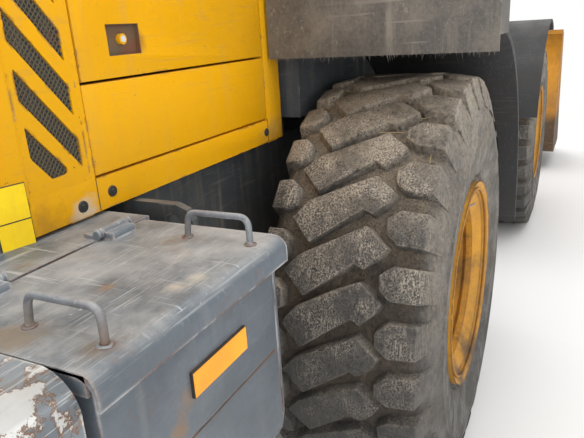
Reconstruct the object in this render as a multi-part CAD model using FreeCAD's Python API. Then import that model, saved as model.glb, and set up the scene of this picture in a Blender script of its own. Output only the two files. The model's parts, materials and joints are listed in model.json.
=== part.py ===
import FreeCAD, Part
import math
import os

os.makedirs("parts", exist_ok=True)
Vec = FreeCAD.Vector

# Driving dimensions in mm. X points forward to the bucket, Y to the left, Z up.
# The origin is on the ground in the middle of the machine's length.
wheelbase = 3000
rear_overhang = 1950
boom_length = 2480
hinge_behind_axle = 380
hinge_z = 1960
bucket_hinge_z = 429.76
bucket_hinge_gap = 103
bucket_depth = 1225
boom_slope = -math.degrees(math.asin((hinge_z - bucket_hinge_z) / boom_length))
boom_reach = round(boom_length * math.cos(math.radians(boom_slope)))
front_overhang = boom_reach - hinge_behind_axle + bucket_hinge_gap + bucket_depth
overall_length = rear_overhang + wheelbase + front_overhang
rear_x = -overall_length / 2 + rear_overhang
front_x = rear_x + wheelbase
pivot_x = (rear_x + front_x) / 2
rear_end_x = -overall_length / 2
bucket_tip_x = overall_length / 2

tyre_radius = 745
wheel_y = 980
axle_z = tyre_radius
gap = 6

# Boom linkage, side view. Points on the boom are (along, above) its hinge-to-bucket line.
boom_hinge = (front_x - hinge_behind_axle, hinge_z)
lever_pin_on_boom = (round(0.5262 * boom_length), 195)
lever_top_on_boom = (round(0.3766 * boom_length), 488)
bucket_eye_on_boom = (boom_length - 301, 222)
lift_eye_on_boom = (round(0.3629 * boom_length), -120)
cross_tube_on_boom = (round(0.5202 * boom_length), -25)
lift_foot = (boom_hinge[0] - 565, 780)
lever_rod_radius = 330
arm_y = 500
arm_thickness = 60
lift_y = 352

# Bodywork, measured against the right rear wheel's centre.
hood_half_width = 660
hood_rear_x = rear_x - 1323
hood_front_x = rear_x - 330
hood_bottom_z = axle_z + 583
hood_top_z = 2060
door_top_z = 1960
door_bottom_z = axle_z + 840
cab_rear_x = rear_x - 270
cab_front_x = pivot_x - 45
cab_half_width = 700
cab_floor_z = 1440
cab_roof_z = 3280
box_outer_y = 1070
box_rear_x = rear_x - 1610
box_front_x = rear_x - 1134
fender_outer_y = 1280


def on_boom(point, slope=boom_slope):
    """Side-view place (x, z) of a point given along and above the boom's line."""
    c, s = math.cos(math.radians(slope)), math.sin(math.radians(slope))
    return (boom_hinge[0] + point[0] * c - point[1] * s, boom_hinge[1] + point[0] * s + point[1] * c)


def box(x0, x1, y0, y1, z0, z1):
    return Part.makeBox(x1 - x0, y1 - y0, z1 - z0, Vec(x0, y0, z0))


def side_plate(points, y0, y1):
    """Outline given as (x, z), as thick as from y0 to y1."""
    wire = Part.makePolygon([Vec(x, y0, z) for x, z in points + points[:1]])
    return Part.Face(wire).extrude(Vec(0, y1 - y0, 0))


def flat_plate(points, z0, z1):
    """Outline given as (x, y), as thick as from z0 to z1."""
    wire = Part.makePolygon([Vec(x, y, z0) for x, y in points + points[:1]])
    return Part.Face(wire).extrude(Vec(0, 0, z1 - z0))


def cross_plate(points, x0, x1):
    """Outline given as (y, z), as thick as from x0 to x1."""
    wire = Part.makePolygon([Vec(x0, y, z) for y, z in points + points[:1]])
    return Part.Face(wire).extrude(Vec(x1 - x0, 0, 0))


def disc(x, z, radius, y0, y1):
    """Round bar, boss or hole across the machine."""
    return Part.makeCylinder(radius, y1 - y0, Vec(x, y0, z), Vec(0, 1, 0))


def post(x, y, radius, z0, z1):
    return Part.makeCylinder(radius, z1 - z0, Vec(x, y, z0), Vec(0, 0, 1))


def bar(start, end, radius):
    start, end = Vec(*start), Vec(*end)
    return Part.makeCylinder(radius, (end - start).Length, start, end - start)


def rail(points, radius):
    """Bent round tube through the points, with a ball at each bend."""
    pieces = [bar(a, b, radius) for a, b in zip(points, points[1:])]
    pieces += [Part.makeSphere(radius, Vec(*p)) for p in points[1:-1]]
    return join(pieces)


def turned(profile, y_centre, side=1):
    """Ring turned about the wheel's axis at the origin, from (radius, offset) pairs."""
    points = [Vec(r, side * y, 0) for r, y in profile]
    face = Part.Face(Part.makePolygon(points + points[:1]))
    ring = face.revolve(Vec(0, 0, 0), Vec(0, 1, 0), 360)
    ring.translate(Vec(0, y_centre, 0))
    return ring


def join(shapes):
    fused = shapes[0]
    if len(shapes) > 1:
        fused = shapes[0].multiFuse(shapes[1:])
    return fused.removeSplitter()


def cut(shape, tools):
    return shape.cut(Part.makeCompound(tools)).removeSplitter()


def mirrored(shape):
    return shape.mirror(Vec(0, 0, 0), Vec(0, 1, 0))


def both_sides(shape):
    """The shape and its mirror image as solids that don't touch."""
    return Part.makeCompound(shape.Solids + mirrored(shape).Solids)


def save(name, shape):
    shape.exportStep("parts/" + name + ".step")


# Wheels

lug_pitches = 31
groove_radius = 707
shoulder_edge = {"y": 235, "radius": 728}
groove_end = {"y": 262, "radius": 642}
bead_seat = {"y": 225.7, "radius": 385}
bead_radius = 330.3 / math.cos(math.pi / lug_pitches)
# The teeth along each shoulder: how far outboard they begin, their middle and half length in pitches.
outer_teeth = {"side": 1, "inner_y": 125, "middle": 0.0, "half_length": 0.3576}
inner_teeth = {"side": -1, "inner_y": 160, "middle": 0.5, "half_length": 0.325}
centre_lug = [(-150, -0.053), (30, 0.894), (120, 0.662), (-100, -0.47)]  # outboard, pitches along the tread
lug_phase = 0.5 - outer_teeth["half_length"]
rim_profile = [
    (368, 248), (368, 226), (330, 226), (330, 180), (316, 150), (316, -150), (330, -180), (330, -226),
    (368, -226),
    (368, -248), (345, -240), (306, -212), (300, -30), (150, -30), (150, 30), (290, 30), (298, 160),
    (285, 172), (285, 196),
    (306, 212), (345, 236),
]
hub_bore_radius = 102
differential_radius = 200
axle_tube_radius = 120


def rim(side):
    ring = turned(rim_profile, 0, side)
    hub = turned([(hub_bore_radius, -110), (170, -110), (190, -60), (190, 70), (150, 96), (0, 96), (0, 60),
                  (hub_bore_radius, 60)], 0, side)
    return join([ring, hub])


def tread_point(y, along, radius):
    """Point on the tyre: offset outboard, pitches along the tread, radius. A lug's edge is lowest."""
    angle = 2 * math.pi * (along + lug_phase) / lug_pitches
    return Vec(radius * math.sin(angle), y, radius * math.cos(angle))


def fan(corners):
    return [[corners[0], b, c] for b, c in zip(corners[1:], corners[2:])]


def shoulder_faces(teeth, step):
    """One tooth between two V grooves, the wall below it and the side of its bead."""
    side, middle = teeth["side"], step + teeth["middle"]
    low, high = middle - 0.5, middle + 0.5
    near, far = middle - teeth["half_length"], middle + teeth["half_length"]
    y = side * teeth["inner_y"]
    crown = [tread_point(y, low, groove_radius), tread_point(y, near, tyre_radius),
             tread_point(y, far, tyre_radius), tread_point(y, high, groove_radius)]
    rings = [(side * ring["y"], ring["radius"]) for ring in (shoulder_edge, groove_end, bead_seat)]
    edge = [tread_point(*at) for at in ((rings[1][0], low, rings[1][1]), (rings[0][0], near, rings[0][1]),
                                        (rings[0][0], far, rings[0][1]), (rings[1][0], high, rings[1][1]))]
    seat = [tread_point(rings[2][0], along, rings[2][1]) for along in (low, high)]
    toe = [tread_point(rings[2][0], along, bead_radius) for along in (low, high)]
    faces = fan(crown) + fan(edge)
    for i in range(3):
        faces += fan([crown[i], crown[i + 1], edge[i + 1], edge[i]])
    return faces + fan([edge[0], edge[3], seat[1], seat[0]]) + fan([seat[0], seat[1], toe[1], toe[0]])


def centre_faces(step):
    """One slanting lug in the middle of the tread, the floor round it and the bore behind it."""
    inner, outer = -inner_teeth["inner_y"], outer_teeth["inner_y"]
    cell = [tread_point(y, step + along, groove_radius)
            for y, along in ((inner, 0), (outer, 1.5), (outer, 0.5), (inner, -1))]
    foot = [tread_point(y, step + along, groove_radius) for y, along in centre_lug]
    top = [tread_point(y, step + along, tyre_radius) for y, along in centre_lug]
    faces = fan(top)
    for i in range(4):
        j = (i + 1) % 4
        faces += fan([foot[i], foot[j], top[j], top[i]])
        faces += [[foot[i], foot[j], cell[i]], [foot[j], cell[i], cell[j]]]
    seat_y = bead_seat["y"]
    bore = ((-seat_y, 0), (-seat_y, 1), (seat_y, 0.5), (seat_y, -0.5))
    return faces + fan([tread_point(y, step + along, bead_radius) for y, along in bore])


def tyre(side):
    """Closed ring of flat faces with toothed shoulders and slanting lugs between them."""
    corners = []
    for step in range(lug_pitches):
        corners += shoulder_faces(outer_teeth, step) + shoulder_faces(inner_teeth, step) + centre_faces(step)
    shell = Part.Shell([Part.Face(Part.makePolygon(points + points[:1])) for points in corners])
    shell.sewShape()
    ring = Part.Solid(shell)
    if ring.Volume < 0:
        ring.reverse()
    return ring if side > 0 else mirrored(ring)


wheel_places = {
    "rear_right": (rear_x, -wheel_y), "rear_left": (rear_x, wheel_y),
    "front_right": (front_x, -wheel_y), "front_left": (front_x, wheel_y),
}
for place, (x, y) in wheel_places.items():
    side = 1 if y > 0 else -1
    for kind, shape in (("tyre", tyre(side)), ("rim", rim(side))):
        shape.translate(Vec(x, y, axle_z))
        save(kind + "_" + place, shape)


def axle(x):
    """Axle tube with differential, end flanges and the spindles that carry the hubs."""
    centre = Part.makeSphere(differential_radius, Vec(x, 0, axle_z))
    tube = disc(x, axle_z, axle_tube_radius, -640, 640)
    ends = []
    for side in (-1, 1):
        for reach, end, radius in ((560, 700, 165), (700, 935, 96), (885, 930, hub_bore_radius - 0.08)):
            low, high = sorted((side * reach, side * end))
            ends.append(disc(x, axle_z, radius, low, high))
    return join([centre, tube] + ends)


# Rear frame with the battery boxes' carriers and the pivot's forks.

frame_plate_y = 520
frame_plate = 30
frame_outline = [
    (rear_end_x + 330, 640), (rear_x - 360, 640), (rear_x - 270, axle_z + 185),
    (rear_x + 300, axle_z + 185), (rear_x + 420, 560), (pivot_x - 575, 560), (pivot_x - 575, 1290),
    (rear_end_x + 330, 1290),
]
pivot_pin_radius = 42
steer_foot = (pivot_x - 705, 430)
steer_tip = (pivot_x + 325, 370)
steer_z = 915
steer_pin_radius = 18
cab_mounts_x = (cab_rear_x + 80, pivot_x - 625)
fork_levels = ((560, 590), (650, 680), (1180, 1210), (1270, 1300))


def fork_outline(radius):
    arc = [(pivot_x + radius * math.cos(math.radians(a)), radius * math.sin(math.radians(a)))
           for a in (-60, -30, 0, 30, 60)]
    back, plate_end, waist = pivot_x - 705, pivot_x - 575, pivot_x - 425
    reach = frame_plate_y + 5
    return ([(back, -reach), (plate_end, -reach), (waist, -430)] + arc
            + [(waist, 430), (plate_end, reach), (back, reach)])


def lug_plate(side):
    """Tie-down lug that stands out sideways from the frame, with its round eye."""
    x, top = rear_x - 1052, axle_z + 574
    root, tip = frame_plate_y + 10, frame_plate_y + 288
    outline = [(root, top - 180), (root, top), (tip - 43, top), (tip - 13, top - 11), (tip, top - 34),
               (tip, top - 100),
               (root + 150, top - 180)]
    plate = cross_plate([(side * y, z) for y, z in outline], x, x + 20)
    eye = bar((x - 1, side * (tip - 51), top - 48), (x + 21, side * (tip - 51), top - 48), 24)
    return cut(plate, [eye])


def rear_frame():
    plates = []
    for side in (-1, 1):
        low, high = sorted((side * frame_plate_y, side * (frame_plate_y + frame_plate)))
        plates.append(side_plate(frame_outline, low, high))
    half = frame_plate_y + 5
    for x, z0, z1 in ((rear_end_x + 340, 660, 1270), (rear_x - 1140, 940, 980), (rear_x - 320, 940, 1200),
                      (rear_x + 330, 940, 1270)):
        plates.append(box(x, x + 30, -half, half, z0, z1))
    for z0, z1 in fork_levels:
        plates.append(flat_plate(fork_outline(140), z0, z1))
    for z0, z1 in ((560, 680), (1180, 1300)):
        plates.append(box(pivot_x - 485, pivot_x - 455, -420, 420, z0, z1))
    for side in (-1, 1):
        y0, y1 = sorted((side * 380, side * frame_plate_y))
        for z in (steer_z - 45, steer_z + 45):
            plates.append(box(steer_foot[0] - 60, steer_foot[0] + 20, y0, y1, z, z + 20))
        plates.append(lug_plate(side))
    plates.append(box(rear_x - 110, rear_x + 110, -frame_plate_y, frame_plate_y, axle_z + 205, axle_z + 240))
    for side in (-1, 1):
        y0, y1 = sorted((side * 380, side * 500))
        plates.append(box(rear_x - 110, rear_x + 110, y0, y1, axle_z + axle_tube_radius + 0.3, axle_z + 210))
        y0, y1 = sorted((side * 470, side * (frame_plate_y + frame_plate)))
        for x in cab_mounts_x:
            plates.append(box(x, x + 90, y0, y1, 1280, cab_floor_z - 60))
        plates.append(post(steer_foot[0], side * steer_foot[1], steer_pin_radius, steer_z - 50, steer_z + 70))
    for z0, z1 in ((545, 695), (1165, 1315)):
        plates.append(post(pivot_x, 0, pivot_pin_radius, z0, z1))
    return join(plates)


save("rear_frame", rear_frame())
save("rear_axle", axle(rear_x))

# Counterweight across the tail with its towing jaws.

weight_front_x = rear_x - 1634
weight_outer_y = 1075
weight_top_z = axle_z + 585
weight_corner = 130
tow_bore_radius = 25


def counterweight():
    half = weight_outer_y
    outline = [(-half, 620), (-half + 40, 540), (half - 40, 540), (half, 620), (half, weight_top_z),
               (-half, weight_top_z)]
    block = cross_plate(outline, rear_end_x, weight_front_x)
    top_edges = [e for e in block.Edges if abs(e.BoundBox.ZMin - weight_top_z) < 1 and e.BoundBox.YLength < 1]
    block = block.makeFillet(55, top_edges)
    plan = box(rear_end_x, weight_front_x, -half, half, 500, weight_top_z + 10)
    block = block.common(plan.makeFillet(weight_corner, [e for e in plan.Edges
                                                         if e.BoundBox.XMax < rear_end_x + 1 and e.BoundBox.ZLength > 100]))
    core = box(weight_front_x - 1, rear_end_x + 340, -480, 480, 680, 1230)
    notch = box(rear_end_x - 1, rear_end_x + 120, -120, 120, 700, weight_top_z + 1)
    jaws = [box(rear_end_x, rear_end_x + 125, -125, 125, z, z + 40) for z in (700, 860)]
    bore = post(rear_end_x + 60, 0, tow_bore_radius, 500, 1000)
    return cut(join([cut(join([block, core]), [notch])] + jaws), [bore])


save("counterweight", counterweight())

# Engine as one plain block, with the drive behind the cab and the shafts.

save("engine", box(rear_x - 1250, hood_front_x - 50, -360, 360, 990, 1700))
shaft_z = 790
transmission = join([
    box(rear_x + 360, pivot_x - 730, -230, 230, 600, 1100),
    bar((rear_x + differential_radius + 0.3, 0, shaft_z), (rear_x + 360, 0, shaft_z), 45),
    bar((pivot_x - 730, 0, shaft_z), (pivot_x - 62, 0, shaft_z), 45),
    bar((pivot_x - 130, 0, shaft_z), (pivot_x - 62, 0, shaft_z), 60),
    bar((pivot_x - 62, 0, shaft_z), (pivot_x, 0, shaft_z), 22),
    Part.makeSphere(48, Vec(pivot_x, 0, shaft_z)),
])
save("driveline", transmission)

# Hood: shell with top, rear panel and the strips that frame its side doors.

sheet = 30
door_rear_x = rear_x - 1158
door_front_x = rear_x - 425
panel_bottom_z = axle_z + 653
side_hinge_x = (door_rear_x + 120, door_front_x - 120)
side_hinge_y = hood_half_width + 11


vent_skin = 6
vent_ledge = 10
vent_x = (rear_x - 1316, rear_x - 1170)
vent_z = (axle_z + 655, axle_z + 1200)
# Slots that slant down to the front: left end top and bottom, right end top and bottom, above the axle.
slot_ends = [(880 + rise, 825 + rise, 740 + rise, 685 + rise) for rise in (0, 100, 200, 300)]
slot_x = (rear_x - 1302, rear_x - 1184)


def vent_plate(side, inset, thickness, sunk):
    """Flat plate in the hood's side wall behind the door, sunk below the hood's face."""
    y0, y1 = sorted(side * (hood_half_width - depth) for depth in (sunk, sunk + thickness))
    return box(vent_x[0] + inset, vent_x[1] - inset, y0, y1, vent_z[0] + inset, vent_z[1] - inset)


def vent_panel(side):
    """Sheet with slanting slots; the lowest slot is cut short by the panel's edge."""
    y0, y1 = sorted((side * (hood_half_width - 10), side * (hood_half_width + 5)))
    slots = []
    for left_top, left_low, right_top, right_low in slot_ends:
        slot = side_plate([(slot_x[0], axle_z + left_top), (slot_x[1], axle_z + right_top),
                           (slot_x[1], axle_z + right_low),
                           (slot_x[0], axle_z + left_low)], y0, y1)
        slots.append(slot.makeFillet(8, [e for e in slot.Edges if e.BoundBox.YLength > 10]))
    short = [(slot_x[0], 780), (rear_x - 1223, 690), (rear_x - 1228, 679), (rear_x - 1262, 677),
             (slot_x[0] + 3, 724)]
    slots.append(side_plate([(x, axle_z + z) for x, z in short], y0, y1))
    return cut(vent_plate(side, 0, vent_skin, 0), slots)


def hood_shell():
    half = hood_half_width
    outer = cross_plate([(-half, hood_bottom_z), (half, hood_bottom_z), (half, hood_top_z - 70),
                         (half - 70, hood_top_z), (-half + 70, hood_top_z), (-half, hood_top_z - 70)],
                        hood_rear_x - 90, hood_front_x)
    inner = cross_plate([(-half + sheet, hood_bottom_z - 1), (half - sheet, hood_bottom_z - 1),
                         (half - sheet, hood_top_z - 85), (half - 85, hood_top_z - sheet),
                         (-half + 85, hood_top_z - sheet), (-half + sheet, hood_top_z - 85)],
                        hood_rear_x - 91, hood_front_x - sheet)
    tools = [inner]
    for side in (-1, 1):
        y0, y1 = sorted((side * (half - 60), side * (half + 10)))
        tools.append(box(door_rear_x, door_front_x, y0, y1, panel_bottom_z - 2, door_top_z))
        tools.append(box(hood_rear_x - 120, hood_rear_x, y0, y1, hood_bottom_z - 2, 1400))
        turned_in = [(hood_rear_x, side * half), (hood_rear_x - 91, side * (half - 20)),
                     (hood_rear_x - 91, side * (half + 5)),
                     (hood_rear_x, side * (half + 5))]
        tools.append(flat_plate(turned_in, hood_bottom_z - 1, hood_top_z + 1))
        tools.append(vent_plate(side, 0, vent_skin + 1, -1))
        tools.append(vent_plate(side, vent_ledge, 60, vent_skin))
    tools.append(post(rear_x - 700, -250, 80, 1900, 2200))
    tools.append(post(rear_x - 700, 250, 120, 1900, 2200))
    feet = []
    for side in (-1, 1):
        y0, y1 = sorted((side * frame_plate_y, side * (half - 10)))
        foot_y0, foot_y1 = sorted((side * frame_plate_y, side * (frame_plate_y + frame_plate)))
        for x in (door_rear_x - 70, door_front_x + 15):
            feet.append(box(x, x + 60, y0, y1, hood_bottom_z - 6, hood_bottom_z + 12))
            feet.append(box(x, x + 60, foot_y0, foot_y1, 1290, hood_bottom_z))
        for x in side_hinge_x:
            for end in (x - 42, x + 31):
                feet.append(hinge_lug(end, end + 11, side))
            feet.append(bar((x - 42, side * side_hinge_y, door_top_z),
                            (x + 42, side * side_hinge_y, door_top_z), 5))
    return join([cut(outer, tools)] + feet)


def hinge_lug(x0, x1, side):
    """Small knuckle that stands out from the hood above a side door."""
    y0, y1 = sorted((side * (hood_half_width - 2), side * (side_hinge_y + 2)))
    knuckle = bar((x0, side * side_hinge_y, door_top_z), (x1, side * side_hinge_y, door_top_z), 10)
    return join([knuckle, box(x0, x1, y0, y1, door_top_z, door_top_z + 24)])


save("hood_shell", hood_shell())


def lower_panel(side):
    y0, y1 = sorted((side * (hood_half_width - sheet), side * hood_half_width))
    panel = box(door_rear_x + 3, door_front_x - 3, y0, y1, panel_bottom_z + 3, door_bottom_z - 4)
    y0, y1 = sorted((side * (hood_half_width - sheet - 5), side * (hood_half_width - sheet)))
    return join([panel, box(door_rear_x - 20, door_front_x + 20, y0, y1, panel_bottom_z - 20,
                            door_bottom_z - 20)])


save("hood_side_panels", Part.makeCompound([make(side) for make in (lower_panel, vent_panel)
                                            for side in (-1, 1)]))


def side_door(side):
    y0, y1 = sorted((side * (hood_half_width - sheet), side * hood_half_width))
    door = box(door_rear_x + gap, door_front_x - gap, y0, y1, door_bottom_z + gap - 4, door_top_z - gap)
    y0, y1 = sorted((side * (hood_half_width - 12), side * (hood_half_width + 5)))
    recess = box(rear_x - 1065, rear_x - 965, y0, y1, axle_z + 885, axle_z + 947)
    knob = bar((rear_x - 1017, side * (hood_half_width - 14), axle_z + 917),
               (rear_x - 1017, side * (hood_half_width - 1), axle_z + 917), 11)
    hinges = []
    for x in side_hinge_x:
        y0, y1 = sorted((side * (hood_half_width - 4), side * (side_hinge_y + 2)))
        leaf = box(x - 30, x + 30, y0, y1, door_top_z - 30, door_top_z)
        leaf = join([leaf, bar((x - 30, side * side_hinge_y, door_top_z),
                               (x + 30, side * side_hinge_y, door_top_z), 10)])
        pin_hole = bar((x - 31, side * side_hinge_y, door_top_z), (x + 31, side * side_hinge_y, door_top_z),
                       5.08)
        hinges.append(cut(leaf, [pin_hole]))
    return join([cut(door, [recess]), knob] + hinges)


save("side_door_right", side_door(-1))
save("side_door_left", side_door(1))

# Radiator grille at the tail.


def radiator_grille():
    x0 = hood_rear_x - 84
    side = hood_half_width - sheet
    frame = cut(box(x0, x0 + 30, -side, side, hood_bottom_z + 75, hood_top_z - 87),
                [box(x0 - 1, x0 + 31, -510, 510, hood_bottom_z + 110, hood_top_z - 180)])
    slats = [box(x0 + 5, x0 + 25, -511, 511, z, z + 14)
             for z in range(int(hood_bottom_z) + 140, hood_top_z - 190, 48)]
    frame = join([frame, box(x0 + 8, x0 + 22, -15, 15, hood_bottom_z + 100, hood_top_z - 170)] + slats)
    struts = [box(x0 + 5, x0 + 25, y, y + 20, hood_top_z - 100, hood_top_z - sheet) for y in (-400, 380)]
    return join([frame] + struts)


screens = [vent_plate(side, vent_ledge, 3, vent_skin) for side in (-1, 1)]
save("radiator_grille", Part.makeCompound(radiator_grille().Solids + screens))
save("radiator", box(hood_rear_x + 10, rear_x - 1250, -535, 535, 1290, 1960))
save("exhaust_stack", join([
    bar((rear_x - 700, -250, 1700), (rear_x - 700, -250, 2380), 55),
    bar((rear_x - 700, -250, 2370), (rear_x - 770, -250, 2500), 50),
]))
save("air_precleaner", join([
    post(rear_x - 700, 250, 75, 1700, 2200),
    post(rear_x - 700, 250, 135, 2190, 2330),
    Part.makeSphere(120, Vec(rear_x - 700, 250, 2320)),
]))

# Battery boxes on both sides, with hinged lids.

lid_top_z = axle_z + 575
lid_lip_z = axle_z + 528
box_bottom_z = axle_z + 184
box_inner_y = frame_plate_y + frame_plate
lid_hinge_y = 770
lid_pin_z = lid_top_z + 11
lid_hinge_x = (box_rear_x + 90, box_front_x - 110)


def battery_box():
    wall = 12
    outline = [(box_rear_x, -box_inner_y), (box_rear_x, -box_outer_y), (box_front_x - 60, -box_outer_y),
               (box_front_x, -box_outer_y + 24), (box_front_x, -box_inner_y)]
    outer = flat_plate(outline, box_bottom_z, lid_top_z - 16)
    inner = box(box_rear_x + wall, box_front_x - wall - 10, -box_outer_y + wall, -box_inner_y - wall,
                box_bottom_z + wall, lid_top_z)
    strip = box(box_rear_x, box_front_x, -lid_hinge_y + gap, -box_inner_y, lid_top_z - 16, lid_top_z)
    for x in lid_hinge_x:
        pin = bar((x - 42, -lid_hinge_y, lid_pin_z), (x + 42, -lid_hinge_y, lid_pin_z), 5)
        lugs = [join([bar((end, -lid_hinge_y, lid_pin_z), (end + 11, -lid_hinge_y, lid_pin_z), 10),
                      box(end, end + 11, -lid_hinge_y, -lid_hinge_y + 30, lid_top_z - 2, lid_pin_z)])
                for end in (x - 42, x + 31)]
        strip = join([strip, pin] + lugs)
    low = box(box_rear_x - 5, box_front_x + 5, -box_outer_y - 5, -box_outer_y + 5, box_bottom_z - 5,
              axle_z + 365)
    reflector = box(rear_x - 1441, rear_x - 1297, -box_outer_y - 6, -box_outer_y + 4, axle_z + 427,
                    axle_z + 466)
    return join([cut(outer, [inner, low]), strip, reflector])


save("battery_boxes", both_sides(battery_box()))


def battery_lid():
    wall = 12
    x0, x1 = box_rear_x - 11, box_front_x - 24
    y_out = -box_outer_y - 18
    top = box(x0, x1, y_out, -lid_hinge_y, lid_lip_z, lid_top_z)
    top = top.makeFillet(30, [e for e in top.Edges
                              if abs(e.BoundBox.ZMin - lid_top_z) < 1 and abs(e.BoundBox.YMin - y_out) < 1
                              and e.BoundBox.XLength > 10])
    inner = box(x0 - 1, x1 + 1, y_out + wall, -lid_hinge_y + 1, lid_lip_z - 1, lid_top_z - wall)
    shell = cut(top, [inner])
    handles = []
    for x in (rear_x - 1562, rear_x - 1217):
        handles.append(rail([(x, -920, lid_top_z - 6), (x, -920, lid_top_z + 48), (x, -1050, lid_top_z + 48),
                             (x, -1050, lid_top_z - 6)], 7))
    for x in lid_hinge_x:
        leaf = join([box(x - 30, x + 30, -lid_hinge_y - 30, -lid_hinge_y - 1, lid_top_z - 4, lid_pin_z + 2),
                     bar((x - 30, -lid_hinge_y, lid_pin_z), (x + 30, -lid_hinge_y, lid_pin_z), 10)])
        pin_hole = bar((x - 31, -lid_hinge_y, lid_pin_z), (x + 31, -lid_hinge_y, lid_pin_z), 5.08)
        handles.append(cut(leaf, [pin_hole]))
    return join([shell] + handles)


save("battery_lid_right", battery_lid())
save("battery_lid_left", mirrored(battery_lid()))

# Rear fenders: a rubber arc over each wheel, with the sheet that hangs behind it.

arc_inner, arc_outer = 868, 894


def rear_fender():
    ring = disc(rear_x, axle_z, arc_outer, -fender_outer_y, -cab_half_width)
    ring = ring.cut(disc(rear_x, axle_z, arc_inner, -fender_outer_y - 1, -cab_half_width + 1))
    keep = side_plate([(rear_x - 150, axle_z + 600), (rear_x - 150, axle_z + 1000),
                       (rear_x + 1000, axle_z + 1000),
                       (rear_x + 1000, axle_z - 60), (rear_x + 760, axle_z - 30)], -fender_outer_y - 2,
                      -cab_half_width + 2)
    arc = ring.common(keep)
    shelf_z = axle_z + 1060
    shelf = box(rear_x - 400, rear_x + 50, -1180, -cab_half_width, shelf_z, shelf_z + 24)
    apron = box(rear_x - 400, rear_x - 388, -wheel_y - 350, -hood_half_width - 8, axle_z + 830, shelf_z + 2)
    flank = box(rear_x - 392, rear_x - 220, -wheel_y - 350, -wheel_y - 338, axle_z + 870, shelf_z + 20)
    stay = box(rear_x - 100, rear_x - 60, -1180, -cab_half_width, axle_z + 870, shelf_z + 5)
    top = box(rear_x - 400, rear_x - 215, -wheel_y - 350, -1170, shelf_z, shelf_z + 24)
    return join([arc, shelf, apron, flank, stay, top])


save("rear_fenders", both_sides(rear_fender()))

# Fuel and oil tanks under the cab, with the steps on them.


ladder_x0 = rear_x + 905
ladder_x1 = ladder_x0 + 320


def side_tank():
    x0, x1 = rear_x + 880, ladder_x1 - 30
    outline = [(x0 + 60, 640), (x1, 640), (x1, 1330), (x0 - 60, 1330), (x0 - 60, 1165), (x0 + 12, 960)]
    return side_plate(outline, -920, -frame_plate_y - frame_plate)


save("side_tanks", both_sides(side_tank()))


def access_ladder():
    x0, x1 = ladder_x0, ladder_x1
    pieces = []
    for x in (x0, x1 - 20):
        pieces.append(side_plate([(x, 430), (x + 20, 430), (x + 20, 1400), (x, 1400)], -1130, -1070))
    for z in (450, 760, 1070, 1380):
        pieces.append(box(x0, x1, -1130, -960, z, z + 25))
    for z in (760, 1070):
        pieces.append(box(x0 + 5, x1 - 40, -965, -920, z, z + 25))
    return join(pieces)


save("access_ladders", both_sides(access_ladder()))

# Cab: floor and lower walls, corner posts, roof, glass, doors.

post_size = 90
sill_z = 2050
roof_bottom_z = 3130
door_x0 = rear_x + 690
door_x1 = cab_front_x - 190
door_hinge_x = door_x0 + 3
door_hinge_y = cab_half_width + 18
door_hinge_z = (1700, 2800)


def cab_shell():
    half = cab_half_width
    outer = side_plate([(cab_rear_x, cab_floor_z - 60), (cab_front_x, cab_floor_z - 60),
                        (cab_front_x - 40, roof_bottom_z),
                        (cab_rear_x + 60, roof_bottom_z)], -half, half)
    inner = box(cab_rear_x + 110, cab_front_x - 90, -half + 60, half - 60, cab_floor_z, roof_bottom_z + 10)
    tools = [inner]
    rear_low, rear_high = cab_rear_x + 200, door_x0 - 70
    for side in (-1, 1):
        y0, y1 = sorted((side * (half - 70), side * (half + 10)))
        tools.append(box(door_x0, door_x1, y0, y1, cab_floor_z + 10, roof_bottom_z - 70))
        tools.append(box(rear_low, rear_high, y0, y1, sill_z, roof_bottom_z - 70))
        tools.append(box(door_x1 + 45, cab_front_x - 100, y0, y1, cab_floor_z + 200, roof_bottom_z - 70))
    tools.append(box(cab_front_x - 140, cab_front_x + 10, -half + 80, half - 80, cab_floor_z + 200,
                     roof_bottom_z - 70))
    tools.append(box(cab_rear_x - 10, cab_rear_x + 150, -half + 100, half - 100, sill_z + 60,
                     roof_bottom_z - 70))
    hinges = []
    for z in door_hinge_z:
        for z0, z1 in ((z - 62, z - 31), (z + 31, z + 62)):
            knuckle = post(door_hinge_x, -door_hinge_y, 15, z0, z1)
            leaf = box(door_hinge_x - 45, door_hinge_x, -door_hinge_y - 4, -half + 4, z0, z1)
            hinges += [knuckle, leaf]
        hinges.append(post(door_hinge_x, -door_hinge_y, 8, z - 62, z + 62))
    hinges = join(hinges)
    return join([cut(outer, tools), hinges, mirrored(hinges)])


save("cab_shell", cab_shell())


def cab_roof():
    half = cab_half_width + 45
    slab = box(cab_rear_x - 20, cab_front_x + 110, -half, half, roof_bottom_z, cab_roof_z)
    slab = slab.makeFillet(45,
                           [e for e in slab.Edges if e.BoundBox.ZLength < 1 and e.BoundBox.ZMin > cab_roof_z - 1])
    return slab


save("cab_roof", cab_roof())


def cab_glass():
    half = cab_half_width
    panes = [
        side_plate([(cab_front_x - 26, cab_floor_z + 200), (cab_front_x - 14, cab_floor_z + 200),
                    (cab_front_x - 44, roof_bottom_z - 70), (cab_front_x - 56, roof_bottom_z - 70)],
                   -half + 80, half - 80),
        box(cab_rear_x + 80, cab_rear_x + 92, -half + 100, half - 100, sill_z + 60, roof_bottom_z - 70),
    ]
    for side in (-1, 1):
        y0, y1 = sorted((side * (half - 30), side * (half - 22)))
        panes.append(box(cab_rear_x + 200, door_x0 - 70, y0, y1, sill_z, roof_bottom_z - 70))
        panes.append(box(door_x1 + 45, cab_front_x - 100, y0, y1, cab_floor_z + 200, roof_bottom_z - 70))
    return Part.makeCompound(panes)


save("cab_glass", cab_glass())

door_z0 = cab_floor_z + 10 + gap
door_z1 = roof_bottom_z - 70 - gap


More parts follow.
